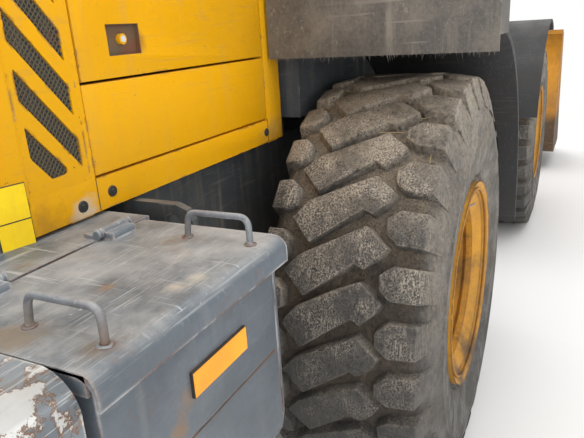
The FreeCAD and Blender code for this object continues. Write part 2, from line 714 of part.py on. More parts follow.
def cab_door():
    half = cab_half_width
    x0, x1 = door_x0 + gap, door_x1 - gap
    frame = box(x0, x1, -half + 2, -half + 42, door_z0, door_z1)
    window = box(x0 + 60, x1 - 60, -half - 1, -half + 50, door_z0 + 330, door_z1 - 60)
    low_window = box(x0 + 60, x1 - 60, -half - 1, -half + 50, door_z0 + 60, door_z0 + 270)
    handle = rail([(x1 - 30, -half + 10, door_z0 + 480), (x1 - 30, -half - 35, door_z0 + 480),
                   (x1 - 30, -half - 35, door_z0 + 620), (x1 - 30, -half + 10, door_z0 + 620)], 9)
    hinges = []
    for z in door_hinge_z:
        leaf = join([box(door_hinge_x, door_hinge_x + 55, -door_hinge_y - 4, -half + 4, z - 30, z + 30),
                     post(door_hinge_x, -door_hinge_y, 15, z - 30, z + 30)])
        hinges.append(cut(leaf, [post(door_hinge_x, -door_hinge_y, 8.08, z - 31, z + 31)]))
    return join([cut(frame, [window, low_window]), handle] + hinges)


def door_glass():
    half = cab_half_width
    x0, x1 = door_x0 + gap, door_x1 - gap
    return Part.makeCompound([
        box(x0 + 60, x1 - 60, -half + 18, -half + 26, door_z0 + 330, door_z1 - 60),
        box(x0 + 60, x1 - 60, -half + 18, -half + 26, door_z0 + 60, door_z0 + 270),
    ])


save("cab_door_right", cab_door())
save("cab_door_left", mirrored(cab_door()))
save("door_glass_right", door_glass())
save("door_glass_left", mirrored(door_glass()))

# Inside the cab.

seat_x = cab_rear_x + 560


def seat():
    base = box(seat_x - 180, seat_x + 200, -200, 200, cab_floor_z, cab_floor_z + 330)
    cushion = box(seat_x - 250, seat_x + 270, -260, 260, cab_floor_z + 330, cab_floor_z + 470)
    back = side_plate([(seat_x - 260, cab_floor_z + 440), (seat_x - 120, cab_floor_z + 440),
                       (seat_x - 230, cab_floor_z + 1180), (seat_x - 340, cab_floor_z + 1180)], -245, 245)
    return join([base, cushion, back])


save("seat", seat())


def steering_column():
    column = bar((cab_front_x - 290, 0, cab_floor_z + 12), (cab_front_x - 373, 0, cab_floor_z + 796), 45)
    foot = box(cab_front_x - 360, cab_front_x - 225, -80, 80, cab_floor_z, cab_floor_z + 24)
    wheel = Part.makeTorus(200, 16, Vec(cab_front_x - 375, 0, cab_floor_z + 790), Vec(-0.18, 0, 1))
    spoke = box(cab_front_x - 395, cab_front_x - 355, -195, 195, cab_floor_z + 780, cab_floor_z + 800)
    return join([column, foot, wheel, spoke])


save("steering_column", steering_column())
save("console", join([
    box(seat_x - 150, seat_x + 350, -500, -330, cab_floor_z, cab_floor_z + 620),
    box(cab_front_x - 210, cab_front_x - 95, -500, 500, cab_floor_z, cab_floor_z + 150),
    bar((seat_x + 280, -420, cab_floor_z + 600), (seat_x + 290, -420, cab_floor_z + 740), 14),
]))

# Handrails, mirrors and the lamps on the rear body.


def handrails():
    foot_x, top_x = ladder_x1 - 15, door_x1 + 22
    return rail([(foot_x, -1115, 1405), (foot_x, -1115, 2200), (top_x, -760, 2300),
                 (top_x, -cab_half_width, 2300)], 15)


save("handrails", both_sides(handrails()))


def mirror():
    arm = rail([(cab_front_x + 110, -665, 3190), (cab_front_x + 150, -665, 3190),
                (cab_front_x + 180, -920, 3100),
                (cab_front_x + 180, -980, 2950)], 12)
    head = box(cab_front_x + 160, cab_front_x + 200, -1070, -890, 2640, 2955)
    return join([arm, head])


save("mirrors", both_sides(mirror()))


def body_lamps():
    """Pairs of work lamps under the roof's front and rear edges."""
    lamps = []
    for x, lens_x in ((cab_front_x + 110, cab_front_x + 170), (cab_rear_x - 80, cab_rear_x - 88)):
        for y in (-600, -330, 200, 470):
            z = roof_bottom_z + 75
            lens = bar((lens_x, y + 65, z), (lens_x + 8, y + 65, z), 38)
            lamps.append(join([box(x, x + 60, y, y + 130, z - 45, z + 45), lens]))
    return Part.makeCompound(lamps)


save("work_lamps", body_lamps())

# Front frame: nose plates, tower for the boom's pins and the pivot's lugs.

nose_plate_y = 220
lift_pin_radius = 25
lift_ear_gap = 60
tower_inner_y = 415
tower_outer_y = 560
tower_x0, tower_x1, tower_z = front_x - 825, front_x - 75, 1250
tower_slant = [(tower_x0, tower_z), (tower_x0 + 32, tower_z), (tower_x0 + 260, 1770), (tower_x0 + 228, 1770)]
shelf_half = lift_y - 62  # leaves room beside the shelves for the lift cylinders to swing


def front_frame():
    hx, hz = boom_hinge
    pieces = []
    wall_x = pivot_x + 325
    foot_x, foot_z = lift_foot
    keel = [(wall_x, 600), (front_x - 525, 600), (front_x - 300, axle_z + 155), (front_x + 320, axle_z + 155),
            (front_x + 420, 1250), (front_x + 125, 1500), (wall_x, 1500)]
    for side in (-1, 1):
        low, high = sorted((side * nose_plate_y, side * (nose_plate_y + 30)))
        pieces.append(side_plate(keel, low, high))
        for y in (lift_y - lift_ear_gap - 25, lift_y + lift_ear_gap):
            low, high = sorted((side * y, side * (y + 25)))
            pieces.append(side_plate([(foot_x - 118, foot_z - 120), (foot_x + 90, foot_z - 120),
                                      (foot_x + 90, foot_z + 80),
                                      (foot_x, foot_z + 120), (foot_x - 118, foot_z + 120)], low, high))
    pieces.append(side_plate(tower_slant, -tower_inner_y, tower_inner_y))
    pieces.append(box(tower_x0, tower_x0 + 33, -tower_inner_y, tower_inner_y, tower_z, tower_z + 30))
    for x0, x1, z0, z1 in ((tower_x0, tower_x1, tower_z, tower_z + 30),
                           (tower_x1 - 30, tower_x1, tower_z, tower_z + 80),
                           (tower_x0 + 240, tower_x1 - 90, 1460, 1500)):
        pieces.append(box(x0, x1, -shelf_half, shelf_half, z0, z1))
    pieces.append(box(wall_x, wall_x + 30, -nose_plate_y - 30, nose_plate_y + 30, 600, 1500))
    ear_outer = lift_y + lift_ear_gap + 25
    pieces.append(box(foot_x - 118, foot_x - 88, -ear_outer, ear_outer, foot_z - 120, foot_z + 120))
    pieces.append(box(foot_x - 118, foot_x + 90, -ear_outer, ear_outer, foot_z - 120, foot_z - 95))
    pieces.append(box(front_x - 425, front_x - 395, -nose_plate_y, nose_plate_y, axle_z + 155, 1500))
    for side in (-1, 1):
        y0, y1 = sorted((side * (nose_plate_y - 5), side * 340))
        pieces.append(box(front_x - 130, front_x + 130, y0, y1, axle_z + axle_tube_radius + 0.3,
                          axle_z + 180))
        pin_y = sorted((side * (lift_y - lift_ear_gap - 30), side * (ear_outer + 5)))
        pieces.append(disc(lift_foot[0], lift_foot[1], lift_pin_radius, *pin_y))
    for y in (-95, 70):
        pieces.append(side_plate([(front_x - 545, 1480), (front_x - 205, 1480), (hx + 70, hz), (hx, hz + 75),
                                  (hx - 70, hz)], y, y + 25))
    for z0, z1 in ((596, 644), (1216, 1264)):
        tongue = [(pivot_x - 10, -118), (wall_x + 20, -200), (wall_x + 20, 200), (pivot_x - 10, 118)]
        pieces.append(join([post(pivot_x, 0, 120, z0, z1), flat_plate(tongue, z0, z1)]))
    for side in (-1, 1):
        y0, y1 = sorted((side * 240, side * 420))
        for z in (steer_z - 67, steer_z + 45):
            pieces.append(box(steer_tip[0] - 50, steer_tip[0] + 50, y0, y1, z, z + 22))
    bores = [post(pivot_x, 0, pivot_pin_radius + 0.1, 500, 1400),
             box(wall_x - 10, front_x - 385, -70, 70, shaft_z - 90, shaft_z + 90)]
    return join([cut(join(pieces), bores), disc(hx, hz, 40, -105, 105)])


def boom_tower():
    """One side's pair of plates that hold the boom's foot, with its pin and the walls between them."""
    hx, hz = boom_hinge
    outline = [(tower_x0, tower_z), (tower_x1, tower_z), (hx + 150, hz - 60), (hx + 90, hz + 95),
               (hx - 90, hz + 95),
               (hx - 170, hz - 80)]
    y0, y1, y2, y3 = -tower_outer_y - 25, -tower_outer_y, -tower_inner_y - 25, -tower_inner_y
    return join([side_plate(outline, y0, y1), side_plate(outline, y2, y3), side_plate(tower_slant, y0, y3),
                 box(tower_x0, tower_x1, y0, y3, tower_z, tower_z + 30),
                 box(tower_x1 - 30, tower_x1, y0, y3, tower_z, tower_z + 80),
                 disc(hx, hz, 44.9, y0 - 15, y3 + 2)])


save("front_frame", front_frame())
save("boom_towers", both_sides(boom_tower()))
save("front_axle", axle(front_x))
save("front_driveline", join([
    bar((pivot_x + 62, 0, shaft_z), (front_x - differential_radius - 0.3, 0, shaft_z), 45),
    bar((pivot_x + 62, 0, shaft_z), (pivot_x + 130, 0, shaft_z), 60),
]))


def front_fender():
    ring = disc(front_x, axle_z, 860, -1262, -706)
    ring = ring.cut(disc(front_x, axle_z, 838, -1263, -705))
    keep = side_plate([(front_x - 900, axle_z + 250), (front_x - 780, axle_z + 250),
                       (front_x - 300, axle_z + 700),
                       (front_x + 330, axle_z + 750), (front_x + 330, axle_z + 1000),
                       (front_x - 900, axle_z + 1000)], -1270, -700)
    bracket = box(front_x - 300, front_x - 240, -760, -tower_outer_y - 25, 1545, 1573)
    return join([ring.common(keep), bracket])


save("front_fenders", both_sides(front_fender()))


def headlamp():
    stand = box(front_x - 265, front_x - 205, -700, -tower_outer_y - 25, 1700, 1760)
    body = box(front_x - 285, front_x - 165, -860, -690, 1640, 1820)
    body = body.makeFillet(25, [e for e in body.Edges if e.BoundBox.XLength > 100])
    lens = bar((front_x - 165, -775, 1730), (front_x - 155, -775, 1730), 68)
    return join([stand, body, lens])


save("headlamps", both_sides(headlamp()))

# Boom with its cross tube, hinge bosses, lever bracket and lift ears.

# The arm's outline: share of the boom's length, height above its line.
arm_shape = [
    (-0.0161, 95), (0.1532, 165), (0.4032, 185), (0.5242, 175), (0.5891, 150), (0.8065, 100), (0.9839, 80),
    (0.9839, -80),
    (0.8266, -120), (0.6048, -190), (0.4637, -215), (0.2823, -170), (0.121, -120), (-0.0161, -95),
]
arm_outline = [(share * boom_length, height) for share, height in arm_shape]


def boom():
    pieces = []
    for side in (-1, 1):
        low, high = sorted((side * (arm_y - arm_thickness / 2), side * (arm_y + arm_thickness / 2)))
        pieces.append(side_plate([on_boom(p) for p in arm_outline], low, high))
        for along, radius in ((0, 95), (boom_length, 92)):
            x, z = on_boom((along, 0))
            low, high = sorted((side * (arm_y - 48), side * (arm_y + 48)))
            pieces.append(disc(x, z, radius, low, high))
        for y in (lift_y - 70, lift_y + 45):
            low, high = sorted((side * y, side * (y + 25)))
            eye = lift_eye_on_boom[0]
            lift_ear = [(eye - 70, -160), (eye, -190), (eye + 80, -150), (eye + 400, -120), (eye + 400, 50),
                        (eye + 200, 60),
                        (eye - 60, -60)]
            pieces.append(side_plate([on_boom(p) for p in lift_ear], low, high))
    x, z = on_boom(cross_tube_on_boom)
    pieces.append(disc(x, z, 100, -arm_y, arm_y))
    ax, az = on_boom(lever_pin_on_boom)
    pieces.append(disc(ax, az, 78, -62, 62))
    along, above = lever_pin_on_boom
    bracket = [(along - 90, 0), (along + 70, 0), (along + 73, above), (along - 73, above)]
    pieces.append(side_plate([on_boom(p) for p in bracket], -62, 62))
    shape = join(pieces)
    holes = []
    for along in (0, boom_length):
        x, z = on_boom((along, 0))
        holes.append(disc(x, z, 45, -600, 600))
    holes.append(disc(ax, az, 40, -80, 80))
    return cut(shape, holes)


save("boom", boom())


def lever():
    """Two plates on the boom's bracket that pass the rod's push on to the link."""
    ax, az = on_boom(lever_pin_on_boom)
    cx, cz = on_boom(lever_top_on_boom)
    gx, gz = rod_pin()
    pieces = []
    for side in (-1, 1):
        low, high = sorted((side * 75, side * 105))
        for x, z, radius in ((ax, az, 85), (gx, gz, 70), (cx, cz, 65)):
            pieces.append(disc(x, z, radius, low, high))
        for (x0, z0), (x1, z1), width in (((ax, az), (gx, gz), 70), ((gx, gz), (cx, cz), 62)):
            dx, dz = x1 - x0, z1 - z0
            length = math.hypot(dx, dz)
            nx, nz = -dz / length * width, dx / length * width
            pieces.append(side_plate([(x0 + nx, z0 + nz), (x1 + nx, z1 + nz), (x1 - nx, z1 - nz),
                                      (x0 - nx, z0 - nz)], low, high))
        low, high = sorted((side * 105, side * 152))
        pieces.append(disc(cx, cz, 32, low, high))
        low, high = sorted((side * 105, side * 110))
        pieces.append(disc(gx, gz, 40, low, high))
    pieces.append(disc(ax, az, 39.9, -112, 112))
    return join(pieces)


def rod_pin():
    """Where the tilt rod's eye sits on the lever, in side view."""
    ax, az = on_boom(lever_pin_on_boom)
    cx, cz = on_boom(lever_top_on_boom)
    reach = lever_rod_radius / math.hypot(cx - ax, cz - az)
    return (ax + (cx - ax) * reach, az + (cz - az) * reach)


save("lever", lever())


def tilt_link():
    cx, cz = on_boom(lever_top_on_boom)
    ex, ez = on_boom(bucket_eye_on_boom)
    dx, dz = ex - cx, ez - cz
    length = math.hypot(dx, dz)
    nx, nz = -dz / length * 42, dx / length * 42
    pieces = []
    for side in (-1, 1):
        low, high = sorted((side * 115, side * 145))
        pieces.append(disc(cx, cz, 62, low, high))
        pieces.append(disc(ex, ez, 62, low, high))
        pieces.append(side_plate([(cx + nx, cz + nz), (ex + nx, ez + nz), (ex - nx, ez - nz),
                                  (cx - nx, cz - nz)], low, high))
    mx, mz = cx + dx * 0.52, cz + dz * 0.52
    pieces.append(disc(mx, mz, 35, -120, 120))
    return cut(join(pieces), [disc(cx, cz, 32.1, -160, 160)])


save("tilt_link", tilt_link())

# Bucket, open to the front and top.

bucket_half = 1275
bucket_wall = 25
bucket_hinge = on_boom((boom_length, 0))
bucket_back_x = bucket_tip_x - bucket_depth
bucket_bottom_z = 175
bucket_top_z = 1470


def bucket_outline(inset):
    """Back of the bucket in side view, from the edge along the floor, heel and back to the top."""
    t = inset
    heel = 300
    cx, cz = bucket_back_x + heel, bucket_bottom_z + heel
    r = heel - t
    arc = [(cx + r * math.cos(math.radians(a)), cz + r * math.sin(math.radians(a)))
           for a in (270, 252, 234, 216, 198, 180)]
    return arc + [(bucket_back_x + t, 1120), (bucket_back_x + 180 + t, bucket_top_z)]


def bucket():
    skin = bucket_outline(0)
    inner = bucket_outline(bucket_wall)
    lip_x = bucket_back_x + 1060
    plate = [(lip_x, bucket_bottom_z)] + skin + inner[::-1] + [(lip_x, bucket_bottom_z + bucket_wall)]
    pieces = [side_plate(plate, -bucket_half, bucket_half)]
    cheek = bucket_outline(0) + [(bucket_back_x + 470, bucket_top_z - 40), (lip_x - 200, 560),
                                 (lip_x + 70, bucket_bottom_z + 60),
                                 (lip_x + 70, bucket_bottom_z)]
    for side in (-1, 1):
        low, high = sorted((side * (bucket_half - bucket_wall), side * bucket_half))
        pieces.append(side_plate(cheek, low, high))
    pieces.append(box(bucket_back_x + 150, bucket_back_x + 330, -bucket_half, bucket_half, bucket_top_z - 40,
                      bucket_top_z))
    dx, dz = bucket_hinge
    for side in (-1, 1):
        for y in (415, 555):
            low, high = sorted((side * y, side * (y + 30)))
            ear = [(dx - 85, dz - 60), (dx, dz - 100), (bucket_back_x + 100, bucket_bottom_z + 60),
                   (bucket_back_x + 10, 900),
                   (bucket_back_x + 5, 960), (dx - 40, dz + 130), (dx - 90, dz + 40)]
            pieces.append(side_plate(ear, low, high))
    ex, ez = on_boom(bucket_eye_on_boom)
    for side in (-1, 1):
        low, high = sorted((side * 70, side * 105))
        ear = [(ex - 65, ez - 20), (ex - 45, ez + 50), (ex, ez + 68), (bucket_back_x + 10, ez + 190),
               (bucket_back_x + 10, ez - 330), (ex - 20, ez - 68)]
        pieces.append(side_plate(ear, low, high))
    for side in (-1, 1):
        low, high = sorted((side * 405, side * 595))
        pieces.append(disc(dx, dz, 44.9, low, high))
    return join(pieces)


save("bucket", bucket())
edge_profile = [(bucket_tip_x - 425, 0), (bucket_tip_x - 425, -25), (bucket_tip_x - 8, -25),
                (bucket_tip_x, -18), (bucket_tip_x - 65, 0)]
save("bucket_edge", side_plate([(x, bucket_bottom_z + z) for x, z in edge_profile], -bucket_half,
                               bucket_half))


# Cylinders. Each has a foot eye, a barrel and a rod with its own eye.


def barrel(foot, tip, y, bare, radius, rod_radius, eye, half_width, pin_radius):
    """Barrel that ends where the rod's bare length begins."""
    fx, fz = foot
    dx, dz = tip[0] - fx, tip[1] - fz
    length = math.hypot(dx, dz)
    reach = length - bare

    def at(distance):
        return (fx + dx / length * distance, y, fz + dz / length * distance)

    tube = bar(at(eye * 0.7), at(reach), radius)
    collar = bar(at(reach - 70), at(reach), radius + 5)
    body = join([tube, collar, disc(fx, fz, eye, y - half_width, y + half_width)])
    chamber = bar(at(eye + 20), at(reach - 60), radius * 0.7)
    gland = bar(at(eye + 30), at(reach + 5), rod_radius + 0.08)
    return cut(body, [chamber, gland, disc(fx, fz, pin_radius + 0.08, y - half_width - 1,
                                           y + half_width + 1)])


def piston_rod(foot, tip, y, foot_room, radius, eye, half_width):
    """Rod that begins inside the barrel, foot_room from the foot's pin."""
    dx, dz = tip[0] - foot[0], tip[1] - foot[1]
    share = foot_room / math.hypot(dx, dz)
    rod = bar((foot[0] + dx * share, y, foot[1] + dz * share), (tip[0], y, tip[1]), radius)
    return join([rod, disc(tip[0], tip[1], eye, y - half_width, y + half_width)])


tilt_tip = rod_pin()
save("tilt_barrel", barrel(boom_hinge, tilt_tip, 0, 300, 56, 32, 68, 60, 40))
save("tilt_rod", piston_rod(boom_hinge, tilt_tip, 0, 320, 32, 52, 62))

lift_tip = on_boom(lift_eye_on_boom)
save("lift_barrels", both_sides(barrel(lift_foot, lift_tip, -lift_y, 181, 48, 28, 58, 52, lift_pin_radius)))
save("lift_rods", both_sides(piston_rod(lift_foot, lift_tip, -lift_y, 201, 28, 55, 38)))

def steer_cylinder(side):
    fx, fy = steer_foot
    tx, ty = steer_tip
    length = math.hypot(tx - fx, ty - fy)
    ux, uy = (tx - fx) / length, (ty - fy) / length

    def at(reach):
        return (fx + ux * reach, side * (fy + uy * reach), steer_z)

    tube = join([bar(at(28), at(0.659 * length), 38), post(fx, side * fy, 40, steer_z - 20, steer_z + 20)])
    tube = cut(tube, [bar(at(55), at(0.62 * length), 28), bar(at(60), at(0.669 * length), 22.08),
                      post(fx, side * fy, steer_pin_radius + 0.08, steer_z - 30, steer_z + 30)])
    rod = join([bar(at(0.38 * length), at(length), 22), post(tx, side * ty, 36, steer_z - 38, steer_z + 38)])
    return tube, rod


for side, name in ((-1, "right"), (1, "left")):
    tube, rod = steer_cylinder(side)
    save("steer_barrel_" + name, tube)
    save("steer_rod_" + name, rod)
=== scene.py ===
import bpy
import bmesh
import json
import math
import random
from bmesh.types import BMFace, BMVert
from mathutils import Matrix, Vector

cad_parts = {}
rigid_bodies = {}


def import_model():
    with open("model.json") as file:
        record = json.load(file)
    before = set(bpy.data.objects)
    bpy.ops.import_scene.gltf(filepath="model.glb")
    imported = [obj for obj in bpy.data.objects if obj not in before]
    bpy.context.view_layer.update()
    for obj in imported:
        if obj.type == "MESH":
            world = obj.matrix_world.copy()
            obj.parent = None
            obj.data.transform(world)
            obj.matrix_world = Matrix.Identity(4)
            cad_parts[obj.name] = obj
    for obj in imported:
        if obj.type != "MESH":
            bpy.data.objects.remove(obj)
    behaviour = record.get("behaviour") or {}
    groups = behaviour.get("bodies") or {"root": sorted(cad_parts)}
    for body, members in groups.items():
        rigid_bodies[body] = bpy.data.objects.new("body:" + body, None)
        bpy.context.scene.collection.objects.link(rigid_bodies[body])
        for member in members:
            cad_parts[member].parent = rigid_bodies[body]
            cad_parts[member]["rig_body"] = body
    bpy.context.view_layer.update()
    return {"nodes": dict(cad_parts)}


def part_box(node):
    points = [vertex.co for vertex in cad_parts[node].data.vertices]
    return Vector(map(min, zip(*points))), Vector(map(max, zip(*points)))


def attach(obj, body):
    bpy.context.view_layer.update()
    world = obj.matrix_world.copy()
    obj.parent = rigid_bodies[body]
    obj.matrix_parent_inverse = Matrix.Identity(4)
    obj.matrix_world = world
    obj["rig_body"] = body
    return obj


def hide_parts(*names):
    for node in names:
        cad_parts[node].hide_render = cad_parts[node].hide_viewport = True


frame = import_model()
nodes = frame["nodes"]
wheelNames = ["rear_right", "rear_left", "front_right", "front_left"]


def wheelCentre(wheelName):
    low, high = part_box("tyre_" + wheelName)
    return (low + high) / 2


rearRight = wheelCentre("rear_right")

# small helpers that add a node each


def newGroup(name, inputs, outputs):
    group = bpy.data.node_groups.new(name, "ShaderNodeTree")
    for label, kind, value in inputs:
        socket = group.interface.new_socket(label, in_out="INPUT", socket_type=kind)
        if value is not None:
            socket.default_value = value
    for label, kind in outputs:
        group.interface.new_socket(label, in_out="OUTPUT", socket_type=kind)
    return group, group.nodes.new("NodeGroupInput"), group.nodes.new("NodeGroupOutput")


def addNoise(nt, vector, scale, detail, roughness):
    n = nt.nodes.new("ShaderNodeTexNoise")
    n.inputs["Detail"].default_value = detail
    n.inputs["Roughness"].default_value = roughness
    if isinstance(scale, (int, float)):
        n.inputs["Scale"].default_value = scale
    else:
        nt.links.new(scale, n.inputs["Scale"])
    nt.links.new(vector, n.inputs["Vector"])
    return n.outputs["Fac"]


def addMath(nt, kind, a, b=None, clamp=False):
    n = nt.nodes.new("ShaderNodeMath")
    n.operation = kind
    n.use_clamp = clamp
    for i, value in enumerate((a, b)):
        if value is None:
            continue
        if isinstance(value, (int, float)):
            n.inputs[i].default_value = value
        else:
            nt.links.new(value, n.inputs[i])
    return n.outputs[0]


def times(nt, a, b, clamp=False):
    return addMath(nt, "MULTIPLY", a, b, clamp)


def plus(nt, a, b, clamp=False):
    return addMath(nt, "ADD", a, b, clamp)


def addRange(nt, value, low, high, toLow=0.0, toHigh=1.0):
    n = nt.nodes.new("ShaderNodeMapRange")
    for label, entry in (("From Min", low), ("From Max", high), ("To Min", toLow), ("To Max", toHigh)):
        if isinstance(entry, (int, float)):
            n.inputs[label].default_value = entry
        else:
            nt.links.new(entry, n.inputs[label])
    nt.links.new(value, n.inputs["Value"])
    return n.outputs[0]


def addMix(nt, fac, a, b):
    n = nt.nodes.new("ShaderNodeMix")
    n.data_type = "RGBA"
    for slot, value in ((0, fac), (6, a), (7, b)):
        if isinstance(value, (int, float)):
            n.inputs[slot].default_value = value
        elif isinstance(value, tuple):
            n.inputs[slot].default_value = (*value, 1)
        else:
            nt.links.new(value, n.inputs[slot])
    return n.outputs[2]


def addMapping(nt, vector, scale, turn=(0, 0, 0)):
    n = nt.nodes.new("ShaderNodeMapping")
    n.inputs["Scale"].default_value = scale
    n.inputs["Rotation"].default_value = turn
    nt.links.new(vector, n.inputs["Vector"])
    return n.outputs[0]


def addVectorMath(nt, kind, a, b=None):
    n = nt.nodes.new("ShaderNodeVectorMath")
    n.operation = kind
    nt.links.new(a, n.inputs[0])
    if isinstance(b, tuple):
        n.inputs[1].default_value = b
    elif b is not None:
        nt.links.new(b, n.inputs[1])
    return n


def splitVector(nt, vector):
    n = nt.nodes.new("ShaderNodeSeparateXYZ")
    nt.links.new(vector, n.inputs[0])
    return n.outputs


def faceNormal(nt):
    return nt.nodes.new("ShaderNodeNewGeometry").outputs["Normal"]


def shade(colour, share, lift=0.0):
    return tuple(min(1, c * share + lift) for c in colour)


# camera, floor and light

cameraValues = {
    "fromWheel": (-2.001, -0.555, 0.921),  # metres from the right rear wheel's centre
    "right": (0.4391, -0.8965, -0.0589),
    "down": (-0.3077, -0.0885, -0.9473),
    "forward": (0.8441, 0.4341, -0.3147),
    "focalPixels": 579.8,
    "pictureWidth": 584,
}


def makeCamera():
    v = cameraValues
    data = bpy.data.cameras.new("photoCamera")
    data.sensor_width = 36
    data.lens = 36 * v["focalPixels"] / v["pictureWidth"]
    data.clip_start = 0.05
    camera = bpy.data.objects.new("photoCamera", data)
    bpy.context.scene.collection.objects.link(camera)
    right, up, back = Vector(v["right"]), -Vector(v["down"]), -Vector(v["forward"])
    turn = Matrix((right, up, back)).transposed()
    camera.matrix_world = Matrix.Translation(rearRight + Vector(v["fromWheel"])) @ turn.to_4x4()
    bpy.context.scene.camera = camera


lightValues = {
    "floorColour": (0.86, 0.85, 0.84),
    "floorFade": (3.0, 8.5),  # metres from the middle
    "skyStrength": 0.52,
    "softboxes": [  # name, place, aim, size, watts
        ("overhead", (-1.0, -1.0, 8.5), (-1.0, 0.0, 0.5), 9.0, 640),
        ("rightSide", (-4.5, -8.0, 4.5), (-1.5, 0.0, 0.8), 6.0, 200),
        ("tail", (-9.0, 1.5, 5.0), (-1.5, 0.0, 1.0), 6.0, 150),
        ("lowTail", (-8.5, -3.6, 1.9), (-1.9, -0.9, 1.2), 4.5, 190),
        ("nose", (9.0, 3.0, 5.5), (1.0, 0.0, 1.0), 6.0, 260),
        ("leftSide", (0.5, 9.0, 5.0), (0.0, 0.0, 1.0), 6.0, 240),
    ],
}


def makeLights():
    v = lightValues
    for name, place, aim, size, watts in v["softboxes"]:
        data = bpy.data.lights.new(name, "AREA")
        data.size = size
        data.energy = watts
        lamp = bpy.data.objects.new(name, data)
        bpy.context.scene.collection.objects.link(lamp)
        lamp.location = place
        lamp.rotation_euler = (Vector(aim) - Vector(place)).to_track_quat("-Z", "Y").to_euler()
    world = bpy.data.worlds.new("paleSky")
    world.use_nodes = True
    nt = world.node_tree
    background = nt.nodes["Background"]
    background.inputs["Color"].default_value = (1, 1, 1, 1)
    path = nt.nodes.new("ShaderNodeLightPath")
    white = addMath(nt, "MAXIMUM", path.outputs["Is Camera Ray"], path.outputs["Is Glossy Ray"])
    strength = addRange(nt, white, 0.0, 1.0, v["skyStrength"], 1.0)
    nt.links.new(strength, background.inputs["Strength"])
    bpy.context.scene.world = world


def makeFloor():
    mesh = bpy.data.meshes.new("floor")
    bm = bmesh.new()
    bmesh.ops.create_grid(bm, x_segments=1, y_segments=1, size=30)
    bm.to_mesh(mesh)
    bm.free()
    floor = bpy.data.objects.new("floor", mesh)
    bpy.context.scene.collection.objects.link(floor)
    mat = bpy.data.materials.new("paleFloor")
    mat.use_nodes = True
    nt = mat.node_tree
    shader = nt.nodes["Principled BSDF"]
    shader.inputs["Base Color"].default_value = (*lightValues["floorColour"], 1)
    shader.inputs["Roughness"].default_value = 0.9
    # seen by the camera it turns white some way off, so no edge shows
    far = addVectorMath(nt, "LENGTH", nt.nodes.new("ShaderNodeTexCoord").outputs["Object"])
    share = addRange(nt, far.outputs["Value"], *lightValues["floorFade"])
    share.node.interpolation_type = "SMOOTHSTEP"
    seen = times(nt, share, nt.nodes.new("ShaderNodeLightPath").outputs["Is Camera Ray"])
    white = nt.nodes.new("ShaderNodeEmission")
    mix = nt.nodes.new("ShaderNodeMixShader")
    nt.links.new(seen, mix.inputs[0])
    nt.links.new(shader.outputs[0], mix.inputs[1])
    nt.links.new(white.outputs[0], mix.inputs[2])
    nt.links.new(mix.outputs[0], nt.nodes["Material Output"].inputs["Surface"])
    mesh.materials.append(mat)


makeCamera()
makeLights()
makeFloor()
bpy.context.scene.view_settings.view_transform = "Standard"
print("camera, floor and light")

# shared effects, each a node group with named sockets

scratchLayers = [  # turn, stretch
    ((0.2, 0.1, 0.28), (4, 130, 90)), ((0.1, 0.3, -0.9), (120, 5, 110)), ((0.7, 0.2, 1.9), (7, 170, 60)),
    ((0.0, 0.2, 0.16), (13, 360, 250)), ((0.3, 0.1, -0.45), (22, 420, 300))]


def scratchGroup():
    # long thin scuffs in several directions, broken up by a coarse noise
    group, inside, outside = newGroup("scratches", [
        ("Vector", "NodeSocketVector", None), ("Amount", "NodeSocketFloat", 0.5),
        ("Scale", "NodeSocketFloat", 1.0)], [("Mask", "NodeSocketFloat")])
    scaled = addVectorMath(group, "SCALE", inside.outputs["Vector"])
    group.links.new(inside.outputs["Scale"], scaled.inputs["Scale"])
    total = None
    for turn, stretch in scratchLayers:
        line = addNoise(group, addMapping(group, scaled.outputs[0], stretch, turn), 1.0, 2.0, 0.5)
        keep = addNoise(group, addMapping(group, scaled.outputs[0], (3, 3, 3), turn), 1.0, 3.0, 0.6)
        line = times(group, addRange(group, line, 0.63, 0.70), addRange(group, keep, 0.42, 0.58))
        total = line if total is None else addMath(group, "MAXIMUM", total, line)
    total = times(group, total, inside.outputs["Amount"], True)
    group.links.new(total, outside.inputs["Mask"])
    return group


def edgeGroup():
    # bare edges: where the rounded normal leaves the flat one, and only where a noise lets it
    group, inside, outside = newGroup("edgeWear", [
        ("Vector", "NodeSocketVector", None), ("Width", "NodeSocketFloat", 0.01),
        ("Amount", "NodeSocketFloat", 0.5), ("Patch Scale", "NodeSocketFloat", 14.0)],
        [("Mask", "NodeSocketFloat"), ("Fine", "NodeSocketFloat")])
    bevel = group.nodes.new("ShaderNodeBevel")
    bevel.samples = 4
    group.links.new(inside.outputs["Width"], bevel.inputs["Radius"])
    dot = addVectorMath(group, "DOT_PRODUCT", bevel.outputs[0], faceNormal(group))
    edge = addRange(group, dot.outputs["Value"], 0.995, 0.86)
    patch = addNoise(group, inside.outputs["Vector"], inside.outputs["Patch Scale"], 6.0, 0.65)
    low = addMath(group, "SUBTRACT", 0.72, times(group, inside.outputs["Amount"], 0.45))
    patch = addRange(group, patch, low, plus(group, low, 0.05))
    group.links.new(times(group, edge, patch, True), outside.inputs["Mask"])
    group.links.new(edge, outside.inputs["Fine"])
    return group


